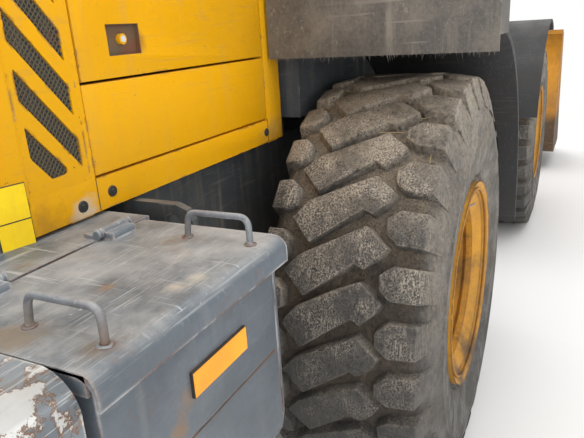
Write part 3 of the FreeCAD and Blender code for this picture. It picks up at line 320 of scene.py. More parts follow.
def dirtGroup():
    # dust that lies on upward faces, streaks that run down walls, and splashes low down, all in blotches
    group, inside, outside = newGroup("dirt", [
        ("Vector", "NodeSocketVector", None), ("Top Dust", "NodeSocketFloat", 0.4),
        ("Streaks", "NodeSocketFloat", 0.3), ("Low Splash", "NodeSocketFloat", 0.5)],
        [("Mask", "NodeSocketFloat")])
    up = addRange(group, splitVector(group, faceNormal(group))["Z"], 0.35, 0.95)
    blotch = addNoise(group, inside.outputs["Vector"], 5.0, 8.0, 0.7)
    top = times(group, times(group, up, inside.outputs["Top Dust"]), addRange(group, blotch, 0.38, 0.62))
    runs = addNoise(group, addMapping(group, inside.outputs["Vector"], (26, 26, 1.6)), 1.0, 4.0, 0.6)
    runs = times(group, addRange(group, runs, 0.5, 0.72), inside.outputs["Streaks"])
    runs = times(group, runs, addRange(group, blotch, 0.35, 0.6))
    height = splitVector(group, inside.outputs["Vector"])["Z"]
    low = times(group, addRange(group, height, 1.3, 0.1), inside.outputs["Low Splash"])
    low = times(group, low, addRange(group, blotch, 0.32, 0.6))
    total = addMath(group, "MAXIMUM", addMath(group, "MAXIMUM", top, runs), low)
    group.links.new(total, outside.inputs["Mask"])
    return group


scratches = scratchGroup()
edgeWear = edgeGroup()
dirt = dirtGroup()


def useGroup(nt, group, vector, values):
    n = nt.nodes.new("ShaderNodeGroup")
    n.node_tree = group
    nt.links.new(vector, n.inputs["Vector"])
    for label, value in values.items():
        n.inputs[label].default_value = value
    return n


def addGrime(nt, coords, top, streaks, splash):
    values = {"Top Dust": top, "Streaks": streaks, "Low Splash": splash}
    return useGroup(nt, dirt, coords, values).outputs["Mask"]


def addScuffs(nt, coords, amount, scale):
    return useGroup(nt, scratches, coords, {"Amount": amount, "Scale": scale}).outputs["Mask"]


def startMaterial(name):
    mat = bpy.data.materials.new(name)
    mat.use_nodes = True
    nt = mat.node_tree
    shader = nt.nodes["Principled BSDF"]
    coords = nt.nodes.new("ShaderNodeTexCoord").outputs["Object"]
    return mat, nt, shader, coords


def addBump(nt, shader, height, strength, distance):
    n = nt.nodes.new("ShaderNodeBump")
    n.inputs["Strength"].default_value = strength
    n.inputs["Distance"].default_value = distance
    nt.links.new(height, n.inputs["Height"])
    nt.links.new(n.outputs[0], shader.inputs["Normal"])


# materials

# smears are x, y, z from the right rear wheel's centre, radius, tint and share
# low is a height and the tint below it
plainPaint = {
    "rough": 0.5, "edges": 0.9, "scratches": 1.0, "top": 0.8, "streaks": 0.5, "splash": 0.8, "spots": 1.0,
    "gloss": 0.3, "stain": 0.25, "topOnly": 0.0, "smears": []}
paintTable = {
    "hoodYellow": {
        "colour": (0.78, 0.375, 0.002), "faded": (0.72, 0.36, 0.006), "bare": (0.28, 0.20, 0.12),
        "rust": (0.13, 0.045, 0.015), "dust": (0.36, 0.25, 0.13), "rough": 0.36, "edges": 0.4,
        "scratches": 0.2, "top": 0.3, "streaks": 0.16, "splash": 0.3, "spots": 0.6, "gloss": 0.14,
        "stain": 0.04,
        "smears": [
            (-1.195, 0.32, 0.595, 0.045, (0.60, 0.56, 0.48), 0.75),
            (-1.285, 0.32, 0.575, 0.07, (0.30, 0.15, 0.03), 0.5),
            (-0.972, 0.32, 0.912, 0.026, (0.25, 0.12, 0.03), 0.6),
            (-0.40, 0.32, 0.60, 0.07, (0.36, 0.23, 0.08), 0.5)]},
    "boxGrey": {
        "colour": (0.088, 0.108, 0.130), "faded": (0.125, 0.145, 0.163), "bare": (0.48, 0.49, 0.50),
        "rust": (0.15, 0.062, 0.025), "dust": (0.36, 0.352, 0.335), "rough": 0.44, "edges": 0.8, "top": 0.85,
        "streaks": 0.2, "splash": 0.15, "gloss": 0.45, "topOnly": 0.92, "stain": 0.5,
        "smears": [
            (-1.562, -0.075, 0.575, 0.045, (0.17, 0.115, 0.07), 0.8),
            (-1.585, 0.065, 0.575, 0.05, (0.20, 0.15, 0.10), 0.7),
            (-1.24, 0.065, 0.575, 0.045, (0.16, 0.125, 0.09), 0.75),
            (-1.455, -0.09, 0.435, 0.035, (0.21, 0.125, 0.065), 0.8),
            (-1.475, -0.09, 0.395, 0.025, (0.21, 0.125, 0.065), 0.8),
            (-1.40, -0.045, 0.575, 0.022, (0.62, 0.52, 0.40), 0.45),
            (-1.43, 0.05, 0.575, 0.02, (0.19, 0.11, 0.06), 0.7),
            (-1.36, -0.055, 0.575, 0.02, (0.62, 0.55, 0.44), 0.4)]},
    "frameGrey": {
        "colour": (0.045, 0.052, 0.058), "faded": (0.075, 0.08, 0.085), "bare": (0.22, 0.2, 0.18),
        "rust": (0.14, 0.055, 0.025), "dust": (0.19, 0.165, 0.13), "rough": 0.55, "edges": 0.45,
        "scratches": 0.3, "streaks": 0.85, "spots": 0.5},
    "weightWorn": {
        "colour": (0.13, 0.155, 0.18), "faded": (0.27, 0.30, 0.32), "bare": (0.70, 0.69, 0.66),
        "rust": (0.17, 0.085, 0.042), "dust": (0.25, 0.225, 0.19), "rough": 0.6, "top": 0.5, "streaks": 0.4,
        "splash": 0.5, "peel": (0.60, 0.60, 0.58)},
    "bucketYellow": {
        "colour": (0.62, 0.27, 0.018), "faded": (0.50, 0.21, 0.03), "bare": (0.20, 0.15, 0.11),
        "rust": (0.17, 0.065, 0.025), "dust": (0.20, 0.14, 0.09), "scratches": 0.8, "top": 0.7, "splash": 0.6,
        "spots": 0.9},
    "rimYellow": {
        "colour": (0.70, 0.34, 0.022), "faded": (0.52, 0.24, 0.03), "bare": (0.21, 0.12, 0.07),
        "rust": (0.13, 0.05, 0.02), "dust": (0.13, 0.085, 0.045), "edges": 0.8, "scratches": 0.5,
        "streaks": 0.6, "stain": 0.5,
        "smears": [
            (0.10, -0.235, -0.34, 0.10, (0.10, 0.065, 0.04), 0.85),
            (-0.12, -0.2, -0.30, 0.09, (0.09, 0.06, 0.04), 0.8),
            (0.25, -0.1, -0.05, 0.12, (0.11, 0.07, 0.04), 0.8)]},
}
paintTable["bucketWorn"] = {
    **paintTable["bucketYellow"], "rough": 0.55, "edges": 1.0, "scratches": 0.9, "streaks": 0.6, "spots": 1.0,
    "gloss": 0.25, "stain": 0.6, "low": (0.62, (0.030, 0.026, 0.023))}


def makePaint(name, v):
    mat, nt, shader, coords = startMaterial(name)
    tone = addNoise(nt, coords, 2.2, 6.0, 0.6)
    colour = addMix(nt, addRange(nt, tone, 0.35, 0.7), v["colour"], v["faded"])
    wear = {"Width": 0.008, "Amount": v["edges"], "Patch Scale": 16.0}
    worn = useGroup(nt, edgeWear, coords, wear).outputs["Mask"]
    scuff = addScuffs(nt, coords, v["scratches"], 1.0)
    grime = addGrime(nt, coords, v["top"], v["streaks"], v["splash"])
    rustNoise = addNoise(nt, coords, 9.0, 8.0, 0.72)
    rustAmount = addRange(nt, rustNoise, 0.68 - 0.08 * v["edges"], 0.76)
    topShare = addRange(nt, splitVector(nt, faceNormal(nt))["Z"], 0.2, 0.9, 1.0 - v["topOnly"], 1.0)
    scuffed = times(nt, scuff, topShare)
    stain = addRange(nt, addNoise(nt, coords, 4.3, 9.0, 0.7), 0.44, 0.66)
    colour = addMix(nt, times(nt, stain, v["stain"]), colour, shade(v["colour"], 0.45))
    if "low" in v:
        height, tint = v["low"]
        level = plus(nt, splitVector(nt, coords)["Z"], times(nt, tone, 0.35))
        colour = addMix(nt, addRange(nt, level, height + 0.11, height + 0.23, 0.92, 0.0), colour, tint)
    if "peel" in v:
        flake = addNoise(nt, coords, 7.0, 12.0, 0.72)
        colour = addMix(nt, addRange(nt, flake, 0.49, 0.505), colour, v["rust"])
        colour = addMix(nt, addRange(nt, flake, 0.512, 0.522), colour, v["peel"])
    colour = addMix(nt, scuffed, colour, tuple(0.35 * a + 0.65 * b for a, b in zip(v["faded"], v["bare"])))
    bareTone = addMix(nt, addRange(nt, rustNoise, 0.42, 0.58), v["bare"], v["rust"])
    colour = addMix(nt, worn, colour, bareTone)
    colour = addMix(nt, times(nt, rustAmount, 0.8), colour, v["rust"])
    colour = addMix(nt, grime, colour, v["dust"])
    for x, y, z, radius, tint, share in v["smears"]:
        near = addVectorMath(nt, "DISTANCE", coords, tuple(rearRight + Vector((x, y, z))))
        reach = plus(nt, near.outputs["Value"], times(nt, rustNoise, radius * 4.0))
        colour = addMix(nt, addRange(nt, reach, radius * 3.0, radius * 2.2, 0.0, share), colour, tint)
    # small chips and specks, more of them where the coarse tone is high
    speck = addNoise(nt, coords, 85.0, 3.0, 0.5)
    speck = addRange(nt, speck, 0.745 - 0.05 * v["spots"], 0.775 - 0.05 * v["spots"])
    speck = times(nt, speck, times(nt, addRange(nt, tone, 0.42, 0.6), topShare))
    colour = addMix(nt, times(nt, speck, 0.85), colour, bareTone)
    shader.inputs["Specular IOR Level"].default_value = v["gloss"]
    nt.links.new(colour, shader.inputs["Base Color"])
    rough = addRange(nt, addNoise(nt, coords, 30.0, 4.0, 0.6), 0.3, 0.7, v["rough"] - 0.06, v["rough"] + 0.12)
    spoiled = addMath(nt, "MAXIMUM", grime, worn)
    nt.links.new(plus(nt, rough, times(nt, spoiled, 0.35), True), shader.inputs["Roughness"])
    grain = times(nt, addNoise(nt, coords, 160.0, 3.0, 0.5), 0.25)
    loss = times(nt, addMath(nt, "MAXIMUM", worn, scuffed), 0.6)
    addBump(nt, shader, addMath(nt, "SUBTRACT", grain, loss), 0.35, 0.0012)
    return mat


def makeRubber(name, colour, dust, dustAmount):
    mat, nt, shader, coords = startMaterial(name)
    blotch = addNoise(nt, coords, 3.5, 8.0, 0.68)
    fine = addNoise(nt, coords, 90.0, 5.0, 0.6)
    scuff = addScuffs(nt, coords, 0.5, 0.7)
    grime = addGrime(nt, coords, dustAmount, dustAmount * 0.8, dustAmount)
    base = addMix(nt, addRange(nt, fine, 0.3, 0.75), colour, shade(colour, 1.8))
    base = addMix(nt, scuff, base, shade(colour, 4.0, 0.02))
    amount = addMath(nt, "MAXIMUM", grime, times(nt, addRange(nt, blotch, 0.45, 0.72), dustAmount))
    nt.links.new(addMix(nt, amount, base, dust), shader.inputs["Base Color"])
    nt.links.new(addRange(nt, blotch, 0.3, 0.7, 0.55, 0.85), shader.inputs["Roughness"])
    addBump(nt, shader, plus(nt, fine, times(nt, blotch, 1.5)), 0.4, 0.002)
    return mat


tyreTints = {
    "rubber": ((0.010, 0.010, 0.0105), (0.085, 0.08, 0.073)),
    "wallMud": ((0.055, 0.046, 0.035), (0.40, 0.345, 0.275)),
    "grooveSoil": ((0.022, 0.017, 0.012), (0.13, 0.095, 0.06)),
    "fleck": (0.56, 0.49, 0.40),
    "rubbedEdge": (0.38, 0.33, 0.26),
    "lyingDust": (0.52, 0.44, 0.35),
    # the tyre's top: dust, made lighter as painted light
    "topDustAndPaintedLight": (0.50, 0.42, 0.32),
    # painted shade for the tyre's foot
    "lowDown": (0.012, 0.012, 0.012),
}


def makeTyreRubber(v):
    # worn lug tops are flecked with dried mud, their edges rubbed pale, and mud sits in the grooves
    mat, nt, shader, coords = startMaterial("tyreRubber")
    layer = nt.nodes.new("ShaderNodeAttribute")
    layer.attribute_name = "lugTop"
    top = layer.outputs["Fac"]
    blotch = addNoise(nt, coords, 5.0, 9.0, 0.72)
    fine = addNoise(nt, coords, 60.0, 8.0, 0.75)
    grit = addNoise(nt, coords, 210.0, 4.0, 0.7)
    worn = useGroup(nt, edgeWear, coords, {"Width": 0.009, "Amount": 1.0, "Patch Scale": 30.0})
    grime = addGrime(nt, coords, 1.0, 0.2, 0.15)
    runs = addNoise(nt, addMapping(nt, coords, (150, 190, 16)), 1.0, 4.0, 0.65)
    patch = addRange(nt, addNoise(nt, coords, 9.0, 6.0, 0.66), 0.43, 0.57)
    colour = addMix(nt, addRange(nt, fine, 0.36, 0.66), *v["rubber"])
    # side wall: dried mud, less of it low down
    wall = addRange(nt, addMath(nt, "ABSOLUTE", splitVector(nt, faceNormal(nt))["Y"]), 0.45, 0.9)
    level = splitVector(nt, coords)["Z"]
    height = addRange(nt, level, 0.45, 1.40)
    mud = addMix(nt, addRange(nt, fine, 0.3, 0.7), *v["wallMud"])
    dry = times(nt, addRange(nt, blotch, 0.32, 0.58), addRange(nt, height, 0, 1, 0.3, 1.0))
    colour = addMix(nt, times(nt, times(nt, wall, dry), 0.85), colour, mud)
    # grooves: dark soil
    groove = times(nt, top, -1.0, True)
    soil = addMix(nt, addRange(nt, fine, 0.35, 0.65), *v["grooveSoil"])
    colour = addMix(nt, times(nt, groove, addRange(nt, blotch, 0.3, 0.55, 0.4, 0.95)), colour, soil)
    # lug tops: flecks and runs in patches, then the rubbed edges
    crown = addMath(nt, "MAXIMUM", top, 0.0)
    fleck = times(nt, addRange(nt, grit, 0.47, 0.62), addMath(nt, "MAXIMUM", patch, 0.12))
    fleck = addMath(nt, "MAXIMUM", fleck, times(nt, addRange(nt, runs, 0.53, 0.64), patch))
    fleck = times(nt, fleck, addRange(nt, height, 0, 1, 0.35, 1.0))
    colour = addMix(nt, times(nt, fleck, plus(nt, times(nt, crown, 0.85), 0.1)), colour, v["fleck"])
    rim = times(nt, worn.outputs["Fine"], times(nt, crown, addRange(nt, fine, 0.38, 0.6)))
    colour = addMix(nt, times(nt, rim, 0.7), colour, v["rubbedEdge"])
    # dust on what faces up; the very top lightened by dust and painted light, and painted shade at the foot
    lie = times(nt, grime, addRange(nt, grit, 0.36, 0.58))
    colour = addMix(nt, times(nt, lie, 0.9), colour, v["lyingDust"])
    paintedTopLightAndDust = times(nt, addRange(nt, level, 1.22, 1.46, 0.0, 0.7), addRange(nt, fine, 0.35, 0.62))
    colour = addMix(nt, paintedTopLightAndDust, colour, v["topDustAndPaintedLight"])
    colour = addMix(nt, addRange(nt, height, 0.0, 0.6, 0.5, 0.0), colour, v["lowDown"])
    nt.links.new(colour, shader.inputs["Base Color"])
    rough = plus(nt, addRange(nt, fine, 0.3, 0.7, 0.30, 0.5), times(nt, patch, 0.35))
    nt.links.new(rough, shader.inputs["Roughness"])
    relief = plus(nt, times(nt, fine, 1.6), times(nt, grit, 0.5))
    addBump(nt, shader, plus(nt, relief, times(nt, runs, 0.7)), 1.0, 0.006)
    return mat


rustTint = (0.15, 0.06, 0.027)
plasticDust = (0.2, 0.17, 0.13)


def makeMetal(name, colour, rough, metallic, rustAmount):
    mat, nt, shader, coords = startMaterial(name)
    rust = addNoise(nt, coords, 8.0, 8.0, 0.7)
    mask = addRange(nt, rust, 0.62 - 0.25 * rustAmount, 0.72 - 0.2 * rustAmount)
    nt.links.new(addMix(nt, mask, colour, rustTint), shader.inputs["Base Color"])
    nt.links.new(addRange(nt, mask, 0, 1, rough, 0.85), shader.inputs["Roughness"])
    nt.links.new(addRange(nt, mask, 0, 1, metallic, 0.0), shader.inputs["Metallic"])
    addBump(nt, shader, addNoise(nt, coords, 120.0, 5.0, 0.6), 0.25, 0.0015)
    return mat


def makeGlass():
    mat, nt, shader, coords = startMaterial("cabGlass")
    shader.inputs["Base Color"].default_value = (0.80, 0.90, 0.88, 1)
    shader.inputs["Transmission Weight"].default_value = 0.9
    shader.inputs["IOR"].default_value = 1.45
    smear = addNoise(nt, coords, 4.0, 6.0, 0.6)
    nt.links.new(addRange(nt, smear, 0.4, 0.75, 0.03, 0.22), shader.inputs["Roughness"])
    return mat


def makePlastic(name, colour, rough):
    mat, nt, shader, coords = startMaterial(name)
    blotch = addNoise(nt, coords, 6.0, 6.0, 0.6)
    base = addMix(nt, addRange(nt, blotch, 0.35, 0.7), colour, shade(colour, 1.5))
    base = addMix(nt, addGrime(nt, coords, 0.5, 0.25, 0.2), base, plasticDust)
    nt.links.new(base, shader.inputs["Base Color"])
    nt.links.new(addRange(nt, blotch, 0.3, 0.7, rough, rough + 0.15), shader.inputs["Roughness"])
    addBump(nt, shader, addNoise(nt, coords, 400.0, 2.0, 0.5), 0.2, 0.0006)
    return mat


paints = {name: makePaint(name, {**plainPaint, **values}) for name, values in paintTable.items()}
tyreRubber = makeTyreRubber(tyreTints)
fenderRubber = makeRubber("fenderRubber", (0.011, 0.011, 0.012), (0.075, 0.063, 0.05), 0.35)
apronRubber = makeRubber("apronRubber", (0.055, 0.05, 0.045), (0.26, 0.23, 0.19), 0.8)
darkPlastic = makePlastic("darkPlastic", (0.02, 0.02, 0.022), 0.45)
seatFabric = makePlastic("seatFabric", (0.03, 0.03, 0.034), 0.8)
castMetal = makeMetal("castMetal", (0.11, 0.105, 0.1), 0.6, 0.4, 0.5)
wornSteel = makeMetal("wornSteel", (0.42, 0.40, 0.38), 0.4, 0.9, 0.6)
rodChrome = makeMetal("rodChrome", (0.75, 0.75, 0.76), 0.12, 1.0, 0.0)
cabGlass = makeGlass()
lampGlass = makePlastic("lampGlass", (0.62, 0.62, 0.6), 0.15)
print("materials")

paintedNodes = {
    "hoodYellow": ["hood_shell", "hood_side_panels", "side_door_right", "side_door_left", "cab_roof"],
    "boxGrey": ["battery_boxes", "battery_lid_right", "battery_lid_left", "side_tanks"],
    "frameGrey": ["rear_frame", "front_frame", "boom_towers", "access_ladders", "handrails",
                  "radiator_grille", "cab_shell", "cab_door_right", "cab_door_left", "steer_barrel_left",
                  "steer_barrel_right"],
    "weightWorn": ["counterweight"],
    "bucketYellow": ["boom", "lever", "tilt_link", "tilt_barrel", "lift_barrels"],
    "bucketWorn": ["bucket"],
    "rimYellow": ["rim_" + w for w in wheelNames],
}
otherNodes = [
    (castMetal, ["engine", "driveline", "front_driveline", "rear_axle", "front_axle", "radiator"]),
    (wornSteel, ["exhaust_stack", "bucket_edge"]),
    (darkPlastic, ["air_precleaner", "console", "steering_column", "mirrors", "work_lamps", "headlamps"]),
    (fenderRubber, ["rear_fenders", "front_fenders"]),
    (rodChrome, ["tilt_rod", "lift_rods", "steer_rod_left", "steer_rod_right"]),
    (cabGlass, ["cab_glass", "door_glass_right", "door_glass_left"]),
    (seatFabric, ["seat"]),
    (tyreRubber, ["tyre_" + w for w in wheelNames]),
]
for finish, members in [(paints[k], m) for k, m in paintedNodes.items()] + otherNodes:
    for member in members:
        obj = nodes[member]
        obj.data.materials.clear()
        obj.data.materials.append(finish)
print("frame painted")

# tyres

tyreValues = {
    "pitches": 31,
    "phase": 0.1424,  # in pitches, as the solid tyre stands
    "lugTop": 0.745,
    "tread": 0.706,
    "steps": 124,
    # side wall and tread from the bead to the middle, mirrored for the rest: radius, offset
    "carcass": [
        (0.3303, -0.192), (0.3303, -0.2257), (0.384, -0.2257), (0.392, -0.236), (0.404, -0.243),
        (0.418, -0.244), (0.47, -0.254), (0.53, -0.2585), (0.548, -0.2625), (0.556, -0.2575), (0.60, -0.254),
        (0.645, -0.244), (0.68, -0.228), (0.700, -0.200), (0.706, -0.14), (0.707, 0.0)],
    "grooveFrom": 0.695,  # radius from which the carcass counts as groove
    # lug outlines on the unrolled tread, drawn for one pitch: offset outboard, distance along the tread
    "drawnPitch": 0.151,
    "outerLug": [(0.112, -0.022), (0.112, 0.024), (0.148, 0.055), (0.232, 0.052), (0.232, -0.052),
                 (0.150, -0.054)],
    "innerLug": [(-0.154, 0.042), (-0.154, 0.102), (-0.184, 0.126), (-0.240, 0.126), (-0.240, 0.024),
                 (-0.186, 0.022)],
    "centreLug": [(-0.167, 0.0), (-0.12, 0.055), (-0.01, 0.117), (0.07, 0.154), (0.137, 0.097),
                  (0.115, 0.062), (0.078, 0.029), (0.052, 0.042), (0.043, 0.032), (-0.10, -0.071)],
    "root": 0.006,  # how deep the lugs stand in the carcass
    "shoulder": (0.2525, -0.052),  # where their outer corners end on the side wall
    "topFade": (0.018, 0.02),  # height on the lug where its worn top begins, and how long it takes
    "crown": (0.10, 0.9),  # half width of the flat middle, and how fast the tread falls beside it
    "draft": 0.007,
    "waver": 0.003,
    "edgeRound": 0.006,
    "chips": 0.0035,
    "settle": 0.0015,  # keeps the lugs above the floor
}


def crownDrop(offset):
    flat, fall = tyreValues["crown"]
    return fall * max(0.0, abs(offset) - flat) ** 2


def bevelEdges(bm, edges, width):
    bmesh.ops.bevel(bm, geom=edges, offset=width, offset_type="OFFSET", segments=2, profile=0.5,
                    affect="EDGES", clamp_overlap=True, material=-1)


def onlyKind(made, kind):
    return [g for g in made["geom"] if isinstance(g, kind)]


def layLug(bm, outline, v, along, chance, onShoulder):
    # one lug on the unrolled tread (x across, y along, z up), with its own chips
    made = [bm.verts.new((a, b + along, 0.0)) for a, b in outline]
    base = bm.faces.new(made)
    bmesh.ops.recalc_face_normals(bm, faces=[base])
    if base.normal.z < 0:
        base.normal_flip()
    raised = bmesh.ops.extrude_face_region(bm, geom=[base])
    bmesh.ops.delete(bm, geom=[base], context="FACES_ONLY")
    top = onlyKind(raised, BMVert)
    middle = sum((t.co for t in top), Vector()) / len(top)
    depth = v["lugTop"] - v["tread"] + v["root"]
    for t in top:
        inward = (middle - t.co).normalized() * v["draft"]
        wear = chance.uniform(-v["chips"], 0.0) - v["settle"]
        across, forward = (chance.uniform(-v["waver"], v["waver"]) for _ in range(2))
        t.co += Vector((inward.x + across, inward.y + forward, depth + wear))
    if onShoulder:
        for corner in made:
            if abs(corner.co.x) > 0.2:
                corner.co.x = math.copysign(v["shoulder"][0], corner.co.x)
                corner.co.z = v["shoulder"][1]
    edges = list(onlyKind(raised, BMFace)[0].edges)
    walls = [e for t in top for e in t.link_edges if e not in edges]
    bevelEdges(bm, edges + walls, v["edgeRound"])


def wrapPoint(co, v):
    radius = v["tread"] - v["root"] + co.z - crownDrop(co.x)
    angle = co.y / v["lugTop"]
    return Vector((radius * math.sin(angle), co.x, radius * math.cos(angle)))


def makeTyre(wheelName, seed):
    v = tyreValues
    chance = random.Random(seed)
    bm = bmesh.new()
    topLayer = bm.verts.layers.float.new("lugTop")
    half = v["carcass"]
    profile = [bm.verts.new((r, y, 0.0)) for r, y in half + [(r, -y) for r, y in half[-2::-1]]]
    for vert in profile:
        vert[topLayer] = -1.0 if vert.co.x > v["grooveFrom"] else 0.0
    edges = [bm.edges.new(pair) for pair in zip(profile, profile[1:])]
    bmesh.ops.spin(bm, geom=profile + edges, cent=(0, 0, 0), axis=(0, 1, 0), angle=math.tau, steps=v["steps"],
                   use_merge=True)
    bmesh.ops.remove_doubles(bm, verts=bm.verts, dist=1e-5)
    bmesh.ops.recalc_face_normals(bm, faces=bm.faces)
    carcassFaces = set(bm.faces)
    pitch = math.tau * v["lugTop"] / v["pitches"]
    first = len(bm.verts)
    scaleAlong = pitch / v["drawnPitch"]
    fadeFrom, fadeLength = v["topFade"]
    for step in range(v["pitches"]):
        for kind in ("outerLug", "innerLug", "centreLug"):
            outline = [(a, b * scaleAlong) for a, b in v[kind]]
            layLug(bm, outline, v, (step + v["phase"]) * pitch, chance, kind != "centreLug")
    bm.verts.ensure_lookup_table()
    for vert in bm.verts[first:]:
        vert[topLayer] = min(1.0, max(0.0, (vert.co.z - fadeFrom) / fadeLength))
        vert.co = wrapPoint(vert.co, v)
    bmesh.ops.recalc_face_normals(bm, faces=[f for f in bm.faces if f not in carcassFaces])
    return bm


def wheelTurn(wheelName):
    # outboard is -Y on the right side and +Y on the left
    return -1 if wheelName.endswith("right") else 1


def finishPiece(bm, name, materials, body=None, replaced=(), smoothAngle=None, outward=False):
    if outward:
        bmesh.ops.recalc_face_normals(bm, faces=bm.faces)
    mesh = bpy.data.meshes.new(name)
    bm.to_mesh(mesh)
    bm.free()
    obj = bpy.data.objects.new(name, mesh)
    bpy.context.scene.collection.objects.link(obj)
    for mat in materials:
        mesh.materials.append(mat)
    for polygon in mesh.polygons:
        polygon.use_smooth = smoothAngle is not None
    if smoothAngle is not None:
        mesh.set_sharp_from_angle(angle=math.radians(smoothAngle))
    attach(obj, body or nodes[replaced[0]]["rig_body"])
    if replaced:
        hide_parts(*replaced)
    return obj


for index, wheelName in enumerate(wheelNames):
    tyre = makeTyre(wheelName, 11 + index)
    centre = wheelCentre(wheelName)
    side = wheelTurn(wheelName)
    for vert in tyre.verts:
        vert.co = Vector((vert.co.x, side * vert.co.y, vert.co.z)) + centre
    if side < 0:
        bmesh.ops.reverse_faces(tyre, faces=tyre.faces)
    finishPiece(tyre, "tyreRubber_" + wheelName, [tyreRubber], replaced=["tyre_" + wheelName], smoothAngle=32)
print("tyres")

# shared shapes


def spot(x, y, z, side=-1):
    # metres from the right rear wheel's centre, y toward the middle of the machine; side 1 is the left
    return Vector((rearRight.x + x, side * (-rearRight.y - y), rearRight.z + z))


def bothSides(add, values):
    bm = bmesh.new()
    for side in (-1, 1):
        add(bm, side, values)
    return bm


def setSlot(made, slot):
    for face in {f for v in made for f in v.link_faces}:
        face.material_index = slot


def addBlock(bm, low, high, slot=0):
    made = bmesh.ops.create_cube(bm, size=1)["verts"]
    for vert in made:
        vert.co = Vector([min(a, b) + abs(b - a) * (0.5 + c) for a, b, c in zip(low, high, vert.co)])
    setSlot(made, slot)


def addPlate(bm, side, x, y, z, slot=0):
    # block given by two distances in x, in y and in z, as spot takes them
    addBlock(bm, *(spot(*corner, side) for corner in zip(x, y, z)), slot)


def addRod(bm, start, end, radius, sides, slot=0, farRadius=None):
    axis = end - start
    place = Matrix.Translation((start + end) / 2) @ axis.to_track_quat("Z", "Y").to_matrix().to_4x4()
    far = radius if farRadius is None else farRadius
    made = bmesh.ops.create_cone(bm, cap_ends=True, segments=sides, radius1=radius, radius2=far,
                                 depth=axis.length, matrix=place)
    setSlot(made["verts"], slot)


def addBolt(bm, place, axis, size, height):
    # hexagon head on a washer
    washer = place + axis * 0.3 * height
    addRod(bm, place, washer, size * 1.35, 14)
    addRod(bm, washer, place + axis * height, size, 6, 0, size * 0.92)


def bentPath(corners, radius, steps=6):
    path = [corners[0]]
    for before, corner, after in zip(corners, corners[1:], corners[2:]):
        toBefore, toAfter = (before - corner).normalized(), (after - corner).normalized()
        reach = radius / math.tan(toBefore.angle(toAfter) / 2)
        start, end = corner + toBefore * reach, corner + toAfter * reach
        for i in range(steps + 1):
            t = i / steps
            path.append((1 - t) ** 2 * start + 2 * t * (1 - t) * corner + t * t * end)
    return path + [corners[-1]]


def addTube(bm, path, radius, sides, slot=0, closed=False):
    rings = []
    across = None
    count = len(path)
    for i, point in enumerate(path):
        ahead = path[(i + 1) % count] if closed or i + 1 < count else point
        behind = path[i - 1] if closed or i > 0 else point
        along = (ahead - behind).normalized()
        across = along.orthogonal() if across is None else across - along * across.dot(along)
        across.normalize()
        other = along.cross(across)
        rings.append([bm.verts.new(point + radius * (math.cos(a) * across + math.sin(a) * other))
                      for a in [math.tau * k / sides for k in range(sides)]])
    faces = joinRings(bm, rings + rings[:1] if closed else rings)
    if not closed:
        faces += [bm.faces.new(rings[0][::-1]), bm.faces.new(rings[-1])]
    for face in faces:
        face.material_index = slot


def joinRings(bm, rings):
    count = len(rings[0])
    return [bm.faces.new((near[k], near[(k + 1) % count], far[(k + 1) % count], far[k]))
            for near, far in zip(rings, rings[1:]) for k in range(count)]


def cadShape(nodeName):
    # fresh copy of a CAD node's mesh, flat faces joined
    bm = bmesh.new()
    bm.from_mesh(nodes[nodeName].data)
    bmesh.ops.transform(bm, matrix=nodes[nodeName].matrix_world, verts=bm.verts)
    bmesh.ops.remove_doubles(bm, verts=bm.verts, dist=1e-5)
    bmesh.ops.dissolve_limit(bm, angle_limit=math.radians(0.8), verts=bm.verts, edges=bm.edges,
                             delimit={"NORMAL"})
    return bm


def roundEdges(bm, width):
    bevelEdges(bm, [e for e in bm.edges if len(e.link_faces) == 2 and e.calc_face_angle(0) > math.radians(28)
                    and e.calc_length() > width * 1.2], width)


def roundedCopy(nodeName, width, materials, dress=None):
    bm = cadShape(nodeName)
    roundEdges(bm, width)
    if dress:
        dress(bm)
    finishPiece(bm, "rounded_" + nodeName, materials, replaced=[nodeName], smoothAngle=38)


hoodBody = nodes["hood_shell"]["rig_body"]
hoodFace = 0.320  # the hood's side wall, inward from the wheel's centre

# bodywork with rounded edges, seen from close by

stickerYellow = makePlastic("stickerYellow", (0.78, 0.49, 0.0015), 0.5)
stickerWhite = makePlastic("stickerWhite", (0.62, 0.62, 0.60), 0.4)
amberLens = makePlastic("amberLens", (0.88, 0.27, 0.001), 0.4)
blackTrim = makePlastic("blackTrim", (0.012, 0.012, 0.013), 0.5)
dirtyDish = makeMetal("dirtyDish", (0.13, 0.085, 0.045), 0.7, 0.1, 0.9)
knobMetal = makeMetal("knobMetal", (0.60, 0.60, 0.59), 0.45, 0.0, 0.25)
screenMetal = makeMetal("screenMetal", (0.115, 0.09, 0.05), 0.6, 0.2, 0.2)
rustyJoint = makeMetal("rustyJoint", (0.035, 0.026, 0.018), 0.8, 0.0, 0.9)
rawWeld = makeMetal("rawWeld", (0.22, 0.22, 0.22), 0.6, 0.3, 0.45)

roundedTable = [  # node, rounding in metres, finish
    ("hood_shell", 0.005, paints["hoodYellow"]),
    ("battery_boxes", 0.006, paints["boxGrey"]),
    ("counterweight", 0.014, paints["weightWorn"]),
    ("side_tanks", 0.008, paints["boxGrey"]),
    ("cab_roof", 0.008, paints["hoodYellow"]),
    ("boom", 0.006, paints["bucketYellow"]),
    ("lever", 0.006, paints["bucketYellow"]),
]
for nodeName, width, finish in roundedTable:
    roundedCopy(nodeName, width, [finish])
print("rounded bodywork")

latchValues = {
    "recess": (-1.065, -0.965, 0.885, 0.947),  # from, to, low, high
    "depth": 0.012,
    "dirt": 0.0015,
    "knob": (-1.017, 0.917),
    "knobRadius": 0.0068,
}


